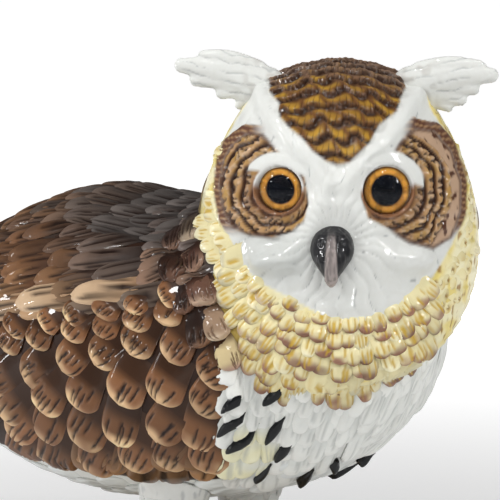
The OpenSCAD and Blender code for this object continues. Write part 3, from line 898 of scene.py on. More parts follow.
# Scapulars and mantle: long streaked feathers from the shoulder back.
mantleSize = dict(count=12, step=16.82, stagger=7.73, long=39.1, wide=11.5, rise=2.4)
scapulars = []
mantleRows = [  # height, front end, colours at root and tip
    (-32.3, -67.3, (0.10, 0.042, 0.02), (0.36, 0.22, 0.115)),
    (-26.4, -69.1, (0.08, 0.034, 0.017), (0.27, 0.15, 0.07)),
    (-20.5, -70.4, (0.06, 0.027, 0.014), (0.22, 0.11, 0.05)),
    (-15, -75.4, (0.05, 0.024, 0.014), (0.19, 0.09, 0.04)),
    (-9.5, -77.3, (0.045, 0.024, 0.016), (0.17, 0.08, 0.036)),
    (-4.1, -78.6, (0.04, 0.026, 0.020), (0.14, 0.068, 0.034)),
    (1.4, -80.9, (0.04, 0.030, 0.026), (0.12, 0.066, 0.040)),
    (6.4, -81.8, (0.045, 0.036, 0.032), (0.11, 0.075, 0.055)),
    (10.5, -81.8, (0.05, 0.042, 0.038), (0.12, 0.092, 0.075)),
    (13.6, -80.9, (0.055, 0.046, 0.042), (0.12, 0.10, 0.085))]
for r, (y, lead, tone, edge) in enumerate(mantleRows):
    for k in range(mantleSize["count"]):
        key = r * 17 + k + 200
        x = lead - k * mantleSize["step"] - (r % 2) * mantleSize["stagger"] + jitter(key, 2.27)
        root = np.array([x, y - 0.055 * (lead - x) - jitter(key + 3, 1.14)])
        sag = 0.04 + 0.20 * float(smooth(16, -34, y)) + 0.02 * k
        length = mantleSize["long"] + jitter(key + 8, 6.36)
        greyer = float(smooth(-108, -76, x)) * 0.75
        rootColour = mix(tone, (0.040, 0.034, 0.032), greyer)
        tipColour = mix(edge, (0.10, 0.085, 0.078), greyer)
        feather = fromFront(bodyTree, root, root - np.array([length, length * sag]),
                            mantleSize["wide"] + jitter(key + 1, 1.8),
                            mantleSize["rise"] + jitter(key + 2, 0.6),
                            shade(rootColour, 0.25, key), shade(tipColour, 0.3, key + 5))
        scapulars += [f for f in feather if f["root"][1] < 6]  # the near side only
for root, tip, wide in (((-75.4, -30), (-121.8, -37.3), 11), ((-100.9, -33.2), (-148.2, -40.9), 12),
                        ((-126.4, -36.8), (-174.5, -46.8), 12)):
    scapulars += fromFront(bodyTree, root, tip, wide + 2, 3.6, (0.30, 0.18, 0.10), (0.54, 0.38, 0.24))

# Grey feathers that fan from the neck on to the shoulder.
neck = []
for k in range(9):
    y = 14.1 - 4.32 * k
    for c, (x0, x1) in enumerate(((-52.7, -72.7), (-62.7, -84.5))):
        key = 900 + k * 3 + c
        grey = shade((0.045, 0.036, 0.033), 0.3, key)
        pale = shade((0.13, 0.10, 0.088) if k < 6 else (0.20, 0.12, 0.08), 0.3, key + 1)
        neck += fromFront(bodyTree, (x0 + jitter(key, 1.36), y), (x1 - 0.91 * k * c, y - 3.64 - 0.82 * k),
                          8.5, 1.9, grey, pale)

# Shoulder scallops beside the ruff.
shoulder = []
for tip, d, tone, edge in (
        ((-66.4, -12.7), (-0.1, -1), (0.07, 0.05, 0.036), (0.30, 0.23, 0.16)),
        ((-65.9, -26.8), (0.1, -1), (0.08, 0.038, 0.027), (0.28, 0.17, 0.115)),
        ((-59.5, -40.5), (0.25, -1), (0.11, 0.05, 0.032), (0.40, 0.27, 0.19)),
        ((-75.4, -3.2), (-0.3, -1), (0.04, 0.03, 0.026), (0.11, 0.08, 0.065)),
        ((-75.4, -16.8), (-0.2, -1), (0.04, 0.022, 0.017), (0.13, 0.07, 0.045)),
        ((-73.2, -30.5), (0.1, -1), (0.035, 0.015, 0.009), (0.11, 0.05, 0.028)),
        ((-67.3, -44.1), (0.3, -1), (0.035, 0.015, 0.009), (0.13, 0.06, 0.032)),
        ((-60.4, -59.1), (0.3, -1), (0.04, 0.018, 0.01), (0.18, 0.09, 0.045))):
    d = np.array(d) / np.hypot(*d)
    shoulder += fromFront(bodyTree, np.array(tip) - d * 16.4, tip, 14.5, 3.0, tone, edge)

# Back: rows that run from the neck to the tail between the wings.
backSize = dict(rows=11, step=19, apart=9.5, long=42, wide=11, rise=2.1)
rumpSize = dict(rows=8, columns=3, step=17, apart=11, long=44, wide=13.5, rise=2.2)
back = []
for r in range(backSize["rows"]):
    for k in range(-5, 6):
        key = 1700 + r * 13 + k
        y = (k + 0.5 * (r % 2)) * backSize["apart"]
        x = 52 - backSize["step"] * r + jitter(key, 4)
        grey = float(smooth(-60, 20, x))
        tone = mix((0.05, 0.024, 0.014), (0.040, 0.034, 0.032), grey)
        edge = mix((0.19, 0.10, 0.05), (0.10, 0.085, 0.078), grey)
        back += fromAbove(bodyTree, (x, y * 0.96), (x - backSize["long"] + jitter(key + 1, 5), y),
                          backSize["wide"] + jitter(key + 2, 1.5), backSize["rise"],
                          shade(tone, 0.25, key), shade(edge, 0.3, key + 5))

for r in range(rumpSize["rows"]):  # the rump, between the wing tips and the tail
    for side in (-1, 1):
        for c in range(rumpSize["columns"]):
            key = 1850 + r * 7 + c * 3 + side
            x = -96 - rumpSize["step"] * r + jitter(key, 3)
            y = side * (17 + rumpSize["apart"] * c)
            feather = fromAbove(bodyTree, (x, y), (x - rumpSize["long"], y), rumpSize["wide"],
                                rumpSize["rise"],
                                shade((0.05, 0.024, 0.014), 0.25, key),
                                shade((0.19, 0.10, 0.05), 0.3, key + 5))
            back += [f for f in feather if abs(f["tip"][2] - f["root"][2]) < 34]  # none down the slit

covertLook = dict(tipFrom=0.7, tipTo=1.0, strokes=6, start=0.42, length=0.52, slant=0.55, width=0.085,
                  depth=1.0, stain=0.98, dark=(0.012, 0.004, 0.002), rim=0.45, rootTo=0.62)
streakLook = {**covertLook, "start": 0.28, "length": 0.55, "strokes": 5, "width": 0.15, "tipFrom": 0.25,
              "depth": 0.8, "slant": 0.12, "rim": 0.25, "rootTo": 0.3}
plumage("wing_right_coverts", rightCoverts + shoulder, covertShape, bodyGuide, covertLook, ["wing_right"],
        "brown_glaze")
plumage("wing_left_coverts", mirrored(rightCoverts + shoulder), covertShape, bodyGuide, covertLook,
        ["wing_left"], "brown_glaze")
plumage("wing_right_flight", flight, longShape, bodyGuide, streakLook, ["wing_right"], "brown_glaze")
plumage("wing_left_flight", mirrored(flight), longShape, bodyGuide, streakLook, ["wing_left"], "brown_glaze")
mantle = scapulars + neck
plumage("mantle", mantle + mirrored(mantle) + back, longShape, bodyGuide, streakLook, [], "brown_glaze")

# Tail: a fan of long barred feathers above and below, with shorter ones over their roots.
tailSize = dict(root=-150, tip=-271, wide=12.5, rise=2.4, coverStep=17, coverApart=11)
tail = []
for k in range(-4, 5):
    key = 1300 + k
    tail += fromAbove(bodyTree, (tailSize["root"], 4.5 * k), (tailSize["tip"] + 0.8 * k * k, 8.8 * k),
                      tailSize["wide"], tailSize["rise"],
                      shade((0.10, 0.05, 0.025), 0.2, key), shade((0.24, 0.14, 0.07), 0.2, key + 3))
for r in range(3):
    for k in range(-3, 4):
        key = 1400 + r * 9 + k
        x, y = -112 - tailSize["coverStep"] * r, (k + 0.5 * (r % 2)) * tailSize["coverApart"]
        tail += fromAbove(bodyTree, (x, y * 0.9), (x - 46, y), 13, 2.6,
                          shade((0.07, 0.032, 0.016), 0.25, key), shade((0.22, 0.12, 0.06), 0.25, key + 3))
tailUnder = []
for k in range(-4, 5):
    tailUnder += fromBelow(bodyTree, (-160, 4.5 * k), (-270 + 0.8 * k * k, 8.6 * k), tailSize["wide"], 1.8,
                           shade((0.36, 0.28, 0.20), 0.1, 1500 + k), shade((0.50, 0.42, 0.32), 0.1, 1510 + k))
tailLook = {**streakLook, "bars": 5.0, "strokes": 3}
plumage("tail_feathers", tail, longShape, bodyGuide, tailLook, ["tail_fan"], "brown_glaze")
plumage("tail_underside", tailUnder, longShape, bodyGuide, tailLook, ["tail_fan"], "brown_glaze")

# Breast: long soft white feathers, fuller and shorter beside the wing.
breastSize = dict(rows=13, columns=17, top=-58.63, left=-50, step=7.045, apart=7.5, stagger=3.64, long=20,
                  wide=8.6, rise=1.7, hang=2.73)
breast = []
whiteTone, whiteEdge = (0.70, 0.72, 0.69), (0.84, 0.85, 0.81)
for r in range(breastSize["rows"]):
    y = breastSize["top"] - breastSize["step"] * r
    for k in range(breastSize["columns"]):
        key = r * 23 + k + 500
        x = breastSize["left"] + breastSize["apart"] * k + breastSize["stagger"] * (r % 2) + jitter(key, 1.82)
        lean = 1.82 + 3.64 * float(smooth(-35.5, 19.1, x))
        edge = (0.80, 0.77, 0.52) if -50 < x < -28.6 and -116 < y < -95.4 else whiteEdge
        long = breastSize["long"] + 7.27 * float(smooth(-21.8, 10, x)) + jitter(key + 3, 2.73)
        tall = breastSize["rise"] + 1.5 * float(hashNoise(key + 5)) ** 3
        tall += 0.8 * float(smooth(-17.3, -35.5, x))
        end = y - breastSize["hang"]
        wide = breastSize["wide"] + 2.2 * float(smooth(-8.2, -30.9, x)) + jitter(key + 1, 1)
        feather = fromFront(bodyTree, (x + lean, end + long), (x - lean, end - jitter(key + 2, 1.82)), wide,
                            tall, shade(whiteTone, 0.06, key), shade(edge, 0.04, key))
        away = np.array([x - lean, end]) - ruffCentre
        turn = math.degrees(math.atan2(away[1], away[0])) % 360
        clear = 10 * float(smooth(252, 242, turn) * smooth(205, 214, turn)) - 1.82
        if np.hypot(*away) < np.interp(turn, *zip(*outerTable)) + clear:
            continue
        for f in feather:  # a ragged outline where the breast turns away
            f["rise"] += 3.2 * float(smooth(0.55, 0.15, f["normal"] @ outDir)) * float(hashNoise(key + 6))
        breast += feather
breastLook = dict(tipFrom=0.3, tipTo=0.8, strokes=4, start=0.35, length=0.5, slant=0.1, width=0.13, depth=0.5,
                  stain=0.5, dark=(0.36, 0.38, 0.36), rim=0.1, missing=0.3)
plumage("breast_feathers", breast + mirrored(breast), longShape, bodyGuide, breastLook, ["body_shell"],
        "white_glaze")

# Belly and flanks: rows of white feathers that wrap the underside towards the tail.
bellySize = dict(rows=17, step=15, swing=11.5, wide=14, rise=1.9)
belly = []
for r in range(bellySize["rows"]):
    x = 88 - bellySize["step"] * r
    for k in range(-6, 7):
        key = 2000 + r * 17 + k
        a = math.radians((k + 0.5 * (r % 2)) * bellySize["swing"])
        d = np.array([0, math.sin(a), -math.cos(a)])
        reach = (x + 12, x - 16 + jitter(key, 3))
        ends = [cast(bodyTree, np.array([q, 0, 150]) + d * 200, -d) for q in reach]
        edge = shade((0.76, 0.79, 0.78), 0.04, key)
        if all(e is not None and (e[0][2] < 86 or abs(e[0][1]) < 34) for e in ends):
            belly += laid(*ends, bellySize["wide"], bellySize["rise"] + jitter(key + 3, 0.3), whiteTone, edge)
plumage("belly_feathers", belly, smallShape, bodyGuide, breastLook, ["body_shell"], "white_glaze")

# Black flame marks on the breast.
marks = []
for root, tip, wide in (((-44.5, -77.7), (-51.8, -87.3), 4.4), ((-43.2, -87.3), (-54.1, -97.7), 5.2),
                        ((-35.5, -91.8), (-50.4, -105), 5.0),
                        ((-23.6, -75.4), (-34.1, -83.6), 5.6), ((-24.1, -89.1), (-33.6, -101.4), 5.2),
                        ((-20.5, -100.9), (-29.5, -109.1), 5.4),
                        ((-30.5, -110.9), (-38.6, -118.6), 5.2), ((-11.4, -114.1), (-18.6, -121.4), 5.2),
                        ((-0.5, -110.4), (-3.2, -114.5), 4.6)):
    marks += fromFront(bodyTree, root, tip, wide, 5.2, (0.006, 0.007, 0.008), (0.006, 0.007, 0.008))
markLook = {**breastLook, "strokes": 1, "stain": 0, "rim": 0, "dark": (0.006, 0.007, 0.008)}
plumage("breast_marks", marks + mirrored(marks), flameShape, bodyGuide, markLook, [], "white_glaze")

# Ruff: rows of small full feathers round the lower face, then a smoother dashed band up the left side.
ruffRows = 9
ruffSizes = dict(side=dict(step=4.545, apart=4.318, past=1.818, long=6.8),
                 small=dict(step=5.454, apart=6.136, past=0, long=9.1),
                 full=dict(step=6.136, apart=7.045, past=4.09, long=13.6))
ruff, dashes = [], []
for r in range(ruffRows):
    angle = 150.0 + (r % 2) * 4.5
    while angle < 380:
        inner = np.interp(angle, *zip(*innerTable))
        outer = np.interp(angle, *zip(*outerTable))
        key = r * 61 + int(angle)
        side = angle > 316 - 3 * r
        small = angle < 205
        size = ruffSizes["side" if side else "small" if small else "full"]
        radius = inner + 5.454 + r * size["step"]
        if radius <= outer + size["past"]:
            a = math.radians(angle + jitter(key, 2))
            out = np.array([math.cos(a), math.sin(a)])
            below = float(smooth(208, 245, angle) * smooth(330, 305, angle) * (hashNoise(key + 7) > 0.2))
            root = ruffCentre + out * (radius - size["long"])
            tip = ruffCentre + out * (radius + jitter(key + 1, 1.82))
            cream = shade((0.80, 0.72, 0.42), 0.08, key)
            if side:
                dashes += fromFront(ruffTree, root, tip, 6.6 + jitter(key + 2, 1.2), 1.0, cream,
                                    shade((0.70, 0.56, 0.24), 0.12, key))
            else:
                edge = mix((0.82, 0.76, 0.52), (0.27, 0.135, 0.09), below)
                wide = 8.2 if small else 9.4 + jitter(key + 2, 1.8)
                if not (206 < angle < 243 and radius > outer - 1.364):  # the ruff edge feathers go there
                    ruff += fromFront(ruffTree, root, tip, wide,
                                      (2.3 if small else 3.0) + jitter(key + 3, 0.7),
                                      cream, shade(edge, 0.3, key))
        angle += math.degrees(size["apart"] / radius)

# Three larger feathers where the ruff meets the wing.
ruffEdge = []
for tip, d, wide, tone, edge in (((-56.8, -40.5), (0.5, -1), 12.5, (0.12, 0.06, 0.04), (0.42, 0.30, 0.21)),
                                 ((-51.8, -55.4), (0.55, -1), 12, (0.30, 0.20, 0.13), (0.60, 0.48, 0.34)),
                                 ((-46.4, -68.6), (0.5, -1), 12, (0.62, 0.50, 0.28), (0.36, 0.23, 0.17))):
    d = np.array(d) / np.hypot(*d)
    ruffEdge += fromFront(ruffTree, np.array(tip) - d * 15.5, tip, wide, 4.2, tone, edge)

ruffLook = dict(tipFrom=0.6, tipTo=0.92, strokes=6, start=0.35, length=0.55, slant=0.0, width=0.12, depth=0.7,
                stain=0.9, dark=(0.58, 0.37, 0.04), rim=0.0, cloud=3.5, missing=0.3)
dashLook = {**ruffLook, "strokes": 1, "dark": (0.27, 0.14, 0.02), "start": 0.5, "length": 0.42, "width": 0.45}
plumage("ruff", ruff, ruffShape, ruffGuide, ruffLook, ["head_shell"], "white_glaze")
edgeLook = {**covertLook, "dark": (0.16, 0.09, 0.05), "rootTo": 0.3}
plumage("ruff_edge", ruffEdge + mirrored(ruffEdge), covertShape, ruffGuide, edgeLook, [], "brown_glaze")
plumage("ruff_left_side", dashes, smallShape, ruffGuide, dashLook, ["head_shell"], "white_glaze")

# Back of the head: small dark feathers that fall to the nape.
napeSize = dict(rows=10, top=66, step=12, middle=126, spread=200, wide=10.5, rise=2.0)  # rows in degrees
nape = []
for r in range(napeSize["rows"]):
    climb = napeSize["top"] - napeSize["step"] * r
    count = max(5, int(26 * math.cos(math.radians(climb))))
    for k in range(count):
        turn = napeSize["middle"] + (k + 0.5 * (r % 2) - count / 2 + 0.5) * (napeSize["spread"] / count)
        key = 2600 + r * 31 + k
        fade = float(smooth(70, 100, abs(turn - napeSize["middle"])))
        tone = mix((0.045, 0.030, 0.022), (0.50, 0.36, 0.12), fade)
        edge = mix((0.24, 0.155, 0.085), (0.72, 0.62, 0.34), fade)
        ends = [castTurn(headTree, headCentre, turn, climb + q) for q in (7, -15)]
        if all(e is not None and (e[0] - headCentre) @ outDir < -8 for e in ends):
            nape += laid(*ends, napeSize["wide"] + jitter(key, 1), napeSize["rise"] + jitter(key + 1, 0.3),
                         shade(tone, 0.2, key), shade(edge, 0.25, key + 2))
plumage("nape_feathers", nape, smallShape, headGuide, {**streakLook, "strokes": 3}, ["head_shell"],
        "brown_glaze")


def paleFloor():  # a matt floor that stays a clean pale white under soft light
    p = Paint("pale floor")
    away, behind = p.tree.nodes.new("ShaderNodeVectorMath"), p.tree.nodes.new("ShaderNodeVectorMath")
    away.operation, behind.operation = "LENGTH", "DOT_PRODUCT"
    p.link(p.position(), away.inputs[0])
    p.link(p.position(), behind.inputs[0])
    behind.inputs[1].default_value = tuple(-outDir)
    p.shader.inputs["Base Color"].default_value = (0.8, 0.8, 0.8, 1)
    p.shader.inputs["Roughness"].default_value = 1.0
    p.shader.inputs["Specular IOR Level"].default_value = 0.0
    p.shader.inputs["Emission Color"].default_value = (1, 1, 1, 1)
    full = p.math("ADD", p.math("MULTIPLY", p.ramp(0.2, 0.9, away.outputs["Value"]), 0.75), 0.2)
    ahead = p.math("ADD", p.math("MULTIPLY", p.ramp(-0.5, 0.1, behind.outputs["Value"]), 0.82), 0.18)
    p.link(p.math("MULTIPLY", full, ahead), p.shader.inputs["Emission Strength"])
    return p.material


def plain(name, colour, roughness, specular):
    p = Paint(name)
    p.shader.inputs["Base Color"].default_value = (*colour, 1)
    p.shader.inputs["Roughness"].default_value = roughness
    p.shader.inputs["Specular IOR Level"].default_value = specular
    return p.material


def dress(node, material):
    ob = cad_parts[node]
    ob.data.materials.clear()
    ob.data.materials.append(material)
    return ob


def finishPiece(ob, colours, grain, material, replaced):
    paintOn(ob, np.clip(colours, 0, 1), grain)
    ob.data.materials.clear()
    ob.data.materials.append(material)
    ob.data.shade_smooth()
    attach(ob, "root")
    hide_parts(*replaced)
    print(ob.name, len(ob.data.polygons), "faces")


# Ear tufts: lobes of clay melted together, grooved along their length.
def earPlace(x, y):
    depth = (x * 0.070 + y * 0.156) / 0.986  # keeps the tuft in the plane across the head
    return headCentre + acrossDir * x + upDir * y + outDir * depth


ears = dict(flat=0.62, grooves=2.6, deep=0.38, fuller=1.18, lobes={
    "right": [((-32.7, 57.7), 8.6, (-70.9, 67.7), 3.2), ((-37.3, 64.1), 5.6, (-60.9, 71.8), 2.7),
              ((-36.4, 56.8), 6.5, (-64.1, 61.4), 3.2),
              ((-36.4, 54.1), 6.0, (-52.7, 55.4), 2.8), ((-34.5, 51.8), 5.5, (-44.5, 50), 2.4)],
    "left": [((33.2, 57.7), 8.6, (68.6, 62.7), 3.2), ((37.3, 63.2), 5.6, (63.6, 66.8), 2.6),
             ((35.5, 55.9), 6.5, (60.4, 56.8), 3.0),
             ((36.4, 53.2), 6.0, (55, 51.8), 2.8), ((35.5, 50.9), 5.5, (49.5, 48.6), 2.3)]})
for side, lobes in ears["lobes"].items():
    bm = bmesh.new()
    for start, startR, end, endR in lobes:
        a, b = earPlace(*start), earPlace(*end)
        for t in np.linspace(0, 1, 14):
            bow = 2.0 * math.sin(math.pi * t)
            c = a * (1 - t) + b * t + np.array([0, 0, bow])
            radius = (startR * (1 - t) + endR * t) * ears["fuller"]
            turn = Matrix.Rotation(math.radians(head["turn"]), 4, "Z")
            size = Matrix.Diagonal((radius * ears["flat"] * mm, radius * mm, radius * mm, 1))
            bmesh.ops.create_icosphere(bm, subdivisions=2, radius=1,
                                       matrix=Matrix.Translation(Vector(c) * mm) @ turn @ size)
    ob = oneSurface("ear_tuft_" + side + "_skin", bm, 0.75, 7)
    p, n = points(ob), normals(ob)
    a, b = earPlace(*lobes[0][0]), earPlace(*lobes[0][2])
    axis = (b - a) / np.linalg.norm(b - a)
    upEar = np.cross(axis, forward)
    reachOut = (p - a) @ axis
    acrossEar = (p - a) @ upEar + 0.06 * reachOut
    wave = acrossEar / ears["grooves"] + 0.5 * softNoise(p, 9, 2) + 0.25 * softNoise(p, 3, 4)
    groove = smooth(0.35, 0.05, np.abs(np.sin(wave * math.pi / 1.6))) * smooth(-0.55, 0.15,
                                                                               softNoise(p, 8, 6))
    p = p - n * (ears["deep"] * groove)[:, None]
    movePoints(ob, p)
    colours = mix(white, (0.36, 0.38, 0.38), 0.5 * groove)
    root = smooth(16, 4, reachOut) * smooth(0.2, 0.8, softNoise(p, 3, 7) + 0.4)
    colours = mix(colours, (0.30, 0.26, 0.22), 0.35 * root)
    finishPiece(ob, colours, 0.3 * groove, paintedGlaze("ear glaze " + side), ["ear_tuft_" + side])

# Beak: a raised pewter bar down the middle of a black bill.
beak = dict(voxel=0.5, bar=2.0, raised=1.0)
bill = guide("beak_skin", ["beak"], beak["voxel"], 3)
p, n = points(bill), normals(bill)
middle = np.median(p @ sideways)
q = p @ sideways - middle
topZ, lowZ = p[:, 2].max(), p[:, 2].min()
down = (topZ - p[:, 2]) / (topZ - lowZ)
ahead = smooth(0.1, 0.5, n @ forward)
half = beak["bar"] * (0.75 + 0.6 * down)
bar = smooth(half + 0.5, half - 0.5, np.abs(q)) * ahead * smooth(0.03, 0.2, down)
p = p + n * (beak["raised"] * bar)[:, None]
hook = smooth(0.72, 1.0, down)
p = p + np.array([0, 0, 1.0]) * (4.2 * smooth(0.25, 1.0, down))[:, None] - forward * (0.9 * hook ** 2)[:,
                                                                                                       None]
p = p + sideways * (q * 0.14 * smooth(0.05, 0.4, down) * smooth(0.9, 0.5, down))[:, None]
nostril = smooth(1.5, 0.5, np.hypot(np.abs(q) - 4.4, (down - 0.24) * 22))
p = p - n * (0.8 * nostril * ahead)[:, None]
movePoints(bill, p)
fine = softNoise(p * np.array([1, 1, 0.15]), 0.7, 3)
colours = mix((0.018, 0.018, 0.020), (0.06, 0.058, 0.058), smooth(0.1, 0.8, fine))
colours = mix(colours, (0.36, 0.31, 0.295), bar * (0.55 + 0.45 * smooth(-0.5, 0.5, fine)) * smooth(0.0,
                                                                                                   0.35,
                                                                                                   down))
colours = mix(colours, (0.42, 0.36, 0.34), 0.7 * hook * smooth(-0.6, 0.4, fine))
finishPiece(bill, colours, 0.3 * fine, paintedGlaze("bill glaze"), ["beak"])

# Legs: feathered trousers down to the toes.
for side, y in (("left", 27.0), ("right", -27.0)):
    leg = guide("leg_" + side + "_skin", ["leg_" + side], 0.9, 5)
    legTree = surfaceOf(leg)
    paintAttribute(leg, "lay", normals(leg))
    p = points(leg)
    middle = (p.max(axis=0) + p.min(axis=0)) / 2
    tufts = []
    for r in range(6):
        z = 90 - 7.2 * r
        for k in range(9):
            turn = (k + 0.5 * (r % 2)) * 40
            a = math.radians(turn)
            d = np.array([math.cos(a), math.sin(a), 0])
            ends = [cast(legTree, np.array([middle[0], middle[1], q]) + d * 60, -d) for q in (z, z - 13)]
            tufts += laid(*ends, 9.5, 1.5, whiteTone, shade(whiteEdge, 0.05, 3000 + r * 9 + k))
    plumage("leg_" + side + "_feathers", tufts, smallShape, leg, breastLook, ["leg_" + side], "white_glaze")
    streak = softNoise(p * np.array([1, 1, 0.3]), 2.0, 5)
    colours = mix(white, (0.40, 0.42, 0.42), 0.6 * smooth(0.2, 0.6, streak))
    finishPiece(leg, colours, streak, paintedGlaze("leg glaze " + side), ["leg_" + side])

    # toes with rows of scutes, then claws
    toes = guide("foot_" + side + "_skin", ["foot_" + side], 0.55, 2)
    p, n = points(toes), normals(toes)
    hub = np.array([8.0, y, 50.0])
    outward = np.hypot(p[:, 0] - hub[0], p[:, 1] - hub[1]) + 0.25 * softNoise(p, 3, 1)
    scute = np.abs(np.mod(outward / 2.5, 1) - 0.5) * 2
    ridge = smooth(1.0, 0.55, scute)
    upper = smooth(-0.1, 0.5, n[:, 2])
    p = p + n * ((0.5 * ridge - 0.3) * upper)[:, None]
    movePoints(toes, p)
    colours = mix((0.42, 0.30, 0.13), (0.56, 0.44, 0.22), smooth(-0.4, 0.5, softNoise(p, 4, 2)))
    colours = mix(colours, (0.09, 0.05, 0.025), 0.9 * (1 - ridge) * (0.4 + 0.6 * upper))
    colours = mix(colours, (0.10, 0.06, 0.03), smooth(47.5, 45, p[:, 2]))
    finishPiece(toes, colours, 0.5 * ridge, paintedGlaze("toe glaze " + side), ["foot_" + side])
    horn = Paint("claw glaze " + side)
    horn.bump(horn.noise(300, 3), 0.08)
    hornColour = horn.mix(horn.noise(180, 2), (0.006, 0.006, 0.007), (0.05, 0.042, 0.036))
    dress("claws_" + side, horn.glaze(hornColour))

# Stump: bark down the side, rings across the top.
stump = dict(voxel=1.35, bark=2.6, ring=4.6)
log = guide("stump_skin", ["stump_base"], stump["voxel"], 4)
p, n = points(log), normals(log)
flatTop = smooth(0.6, 0.9, n[:, 2])
under = smooth(-0.6, -0.9, n[:, 2])
wall = (1 - flatTop) * (1 - under) * smooth(0.5, 4, p[:, 2]) * smooth(44.2, 40, p[:, 2])
turn = np.arctan2(p[:, 1], p[:, 0])
around = turn * 76
plate = softNoise(np.stack([around, p[:, 2] * 0.25, 0 * around], axis=1), 6.5, 1)
crack = smooth(0.22, 0.0, np.abs(plate + 0.3 * softNoise(p, 5, 2)))
rough = softNoise(p * np.array([1, 1, 0.4]), 2.2, 3)
barked = p + n * (wall * (stump["bark"] * (0.5 * plate - 0.75 * crack) + 0.45 * rough))[:, None]
ringAt = np.hypot(p[:, 0] / 84, p[:, 1] / 64) * 74 + 1.6 * softNoise(p, 22, 4)
ringPart = np.abs(np.mod(ringAt / stump["ring"], 1) - 0.5) * 2
ringLine = smooth(0.72, 0.95, ringPart)
split = smooth(0.05, 0.0, np.abs(np.mod(turn / 0.9 + 0.15 * softNoise(p, 12, 6), 1) - 0.5))
split = split * smooth(18, 40, ringAt)
barked = barked - n * (flatTop * (0.45 * ringLine + 0.8 * split))[:, None]
movePoints(log, barked)
bark = mix((0.11, 0.06, 0.032), (0.24, 0.155, 0.09), smooth(-0.5, 0.6, plate + 0.4 * rough))
bark = mix(bark, (0.02, 0.010, 0.006), 0.95 * crack)
moss = smooth(0.25, 0.7, softNoise(p, 17, 8)) * smooth(0.2, -0.3, crack - 0.2)
bark = mix(bark, (0.10, 0.13, 0.04), 0.55 * moss)
wood = mix((0.36, 0.24, 0.12), (0.46, 0.33, 0.18), smooth(-0.5, 0.5, softNoise(p, 9, 5)))
wood = mix(wood, (0.14, 0.08, 0.04), 0.75 * np.maximum(ringLine, split))
wood = mix(wood, (0.10, 0.055, 0.03), smooth(66, 71, ringAt))
colours = mix(bark, wood, flatTop)
colours = mix(colours, (0.62, 0.60, 0.56), under)
finishPiece(log, colours, 0.6 * rough * wall, paintedGlaze("bark glaze", 0.3), ["stump_base"])


# Eyes: painted discs under thin glass.
def irisGlaze(name, centre, r):
    p = Paint(name)
    away = p.tree.nodes.new("ShaderNodeVectorMath")
    away.operation = "DISTANCE"
    p.link(p.position(), away.inputs[0])
    away.inputs[1].default_value = tuple(np.array(centre) * mm)
    d = away.outputs["Value"]
    rim = p.ramp(r * 0.84 * mm, r * 1.0 * mm, d)
    core = p.ramp(r * 0.76 * mm, r * 0.66 * mm, d)
    colour = p.mix(p.noise(900, 2), (0.62, 0.25, 0.03), (0.85, 0.45, 0.09))
    colour = p.mix(rim, colour, (0.07, 0.025, 0.008))
    colour = p.mix(p.math("MULTIPLY", core, 0.8), colour, (0.16, 0.05, 0.01))
    return p.glaze(colour, 0)


glass = Paint("eye glass")  # a thin clear reflection over the painted eye
for key, value in (("Base Color", (1, 1, 1, 1)), ("Metallic", 1.0), ("Roughness", 0.0), ("Alpha", 0.016)):
    glass.shader.inputs[key].default_value = value
for side, r in (("left", 10.5), ("right", 9.75)):
    lo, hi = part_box("iris_" + side)
    middle = (np.array(lo) + np.array(hi)) / 2 / mm
    dress("eye_glass_" + side, glass.material)
    dress("iris_" + side, irisGlaze("iris paint " + side, middle, r))
    dress("pupil_" + side, plain("pupil paint " + side, (0.002, 0.003, 0.006), 0.6, 0.05))
    dress("eye_cement_" + side, plain("cement " + side, (0.7, 0.68, 0.62), 0.9, 0.5))
print("eyes dressed")


# Floor, light and camera.
floorReach, floorTop = 6000, -0.2
corners = ((-1, -1), (1, -1), (1, 1), (-1, 1))
floor = newObject("floor", [(a * floorReach, b * floorReach, floorTop) for a, b in corners], [(0, 1, 2, 3)])
floor.data.materials.append(paleFloor())
print("floor laid")

world = bpy.data.worlds.new("studio")
world.use_nodes = True
world.node_tree.nodes["Background"].inputs[0].default_value = (1, 1, 1, 1)
world.node_tree.nodes["Background"].inputs[1].default_value = 0.08
bpy.context.scene.world = world
bpy.context.scene.view_settings.view_transform = "Standard"

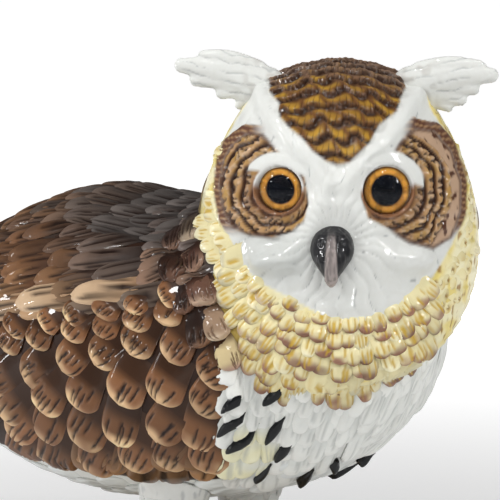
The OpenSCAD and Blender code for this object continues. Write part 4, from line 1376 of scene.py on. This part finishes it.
lightTarget = (40, 0, 170)


def areaLight(name, azimuth, elevation, distance, size, watts):  # degrees, metres, watts
    a, e = math.radians(azimuth), math.radians(elevation)
    d = Vector((math.sin(a) * math.cos(e), -math.cos(a) * math.cos(e), math.sin(e)))
    light = bpy.data.lights.new(name, "AREA")
    light.shape, light.size, light.size_y, light.energy = "RECTANGLE", size[0], size[1], watts
    ob = linked(name, light)
    ob.location = Vector(lightTarget) * mm + d * distance
    ob.rotation_euler = (-d).to_track_quat("-Z", "Y").to_euler()


areaLight("softbox left", -30, 45, 1.1, (0.10, 0.16), 3.9)
areaLight("softbox right", 95, 32, 1.2, (0.08, 0.22), 4.3)
areaLight("softbox top", 30, 68, 1.0, (0.07, 0.07), 1.5)
areaLight("strip low left", -48, 6, 1.2, (0.045, 0.3), 2.3)
areaLight("softbox low", -5, -2, 1.3, (0.07, 0.07), 1.0)
areaLight("strip low front", 8, 10, 1.3, (0.025, 0.14), 0.8)
areaLight("strip low centre", 22, -4, 1.2, (0.02, 0.12), 0.5)
# Small bright marks in the glaze.
for turn, climb in ((-75, 22), (-18, 26), (18, 45), (72, 12), (-40, 70), (58, 72)):
    areaLight("glint %d" % turn, turn, climb, 1.15, (0.022, 0.12), 0.5)
areaLight("strip high right", 62, 48, 1.1, (0.3, 0.05), 1.6)

# What the camera takes in, and where it aims from the head's centre.
shot = dict(wide=227.25, lens=250, film=36, left=40, below=15.9)
camera = linked("camera", bpy.data.cameras.new("camera"))
camera.data.lens = shot["lens"]
camera.data.sensor_width = shot["film"]
distance = shot["wide"] * mm * shot["lens"] / shot["film"]
aim = Vector(headCentre - shot["left"] * acrossDir - shot["below"] * upDir) * mm
camera.location = aim + Vector(outDir) * distance
camera.rotation_euler = (-Vector(outDir)).to_track_quat("-Z", "Y").to_euler()
camera.data.clip_start, camera.data.clip_end = 0.05, 50
bpy.context.scene.camera = camera

for ob in (covertShape, longShape, smallShape, ruffShape, flameShape, headGuide, ruffGuide):
    bpy.data.objects.remove(ob)
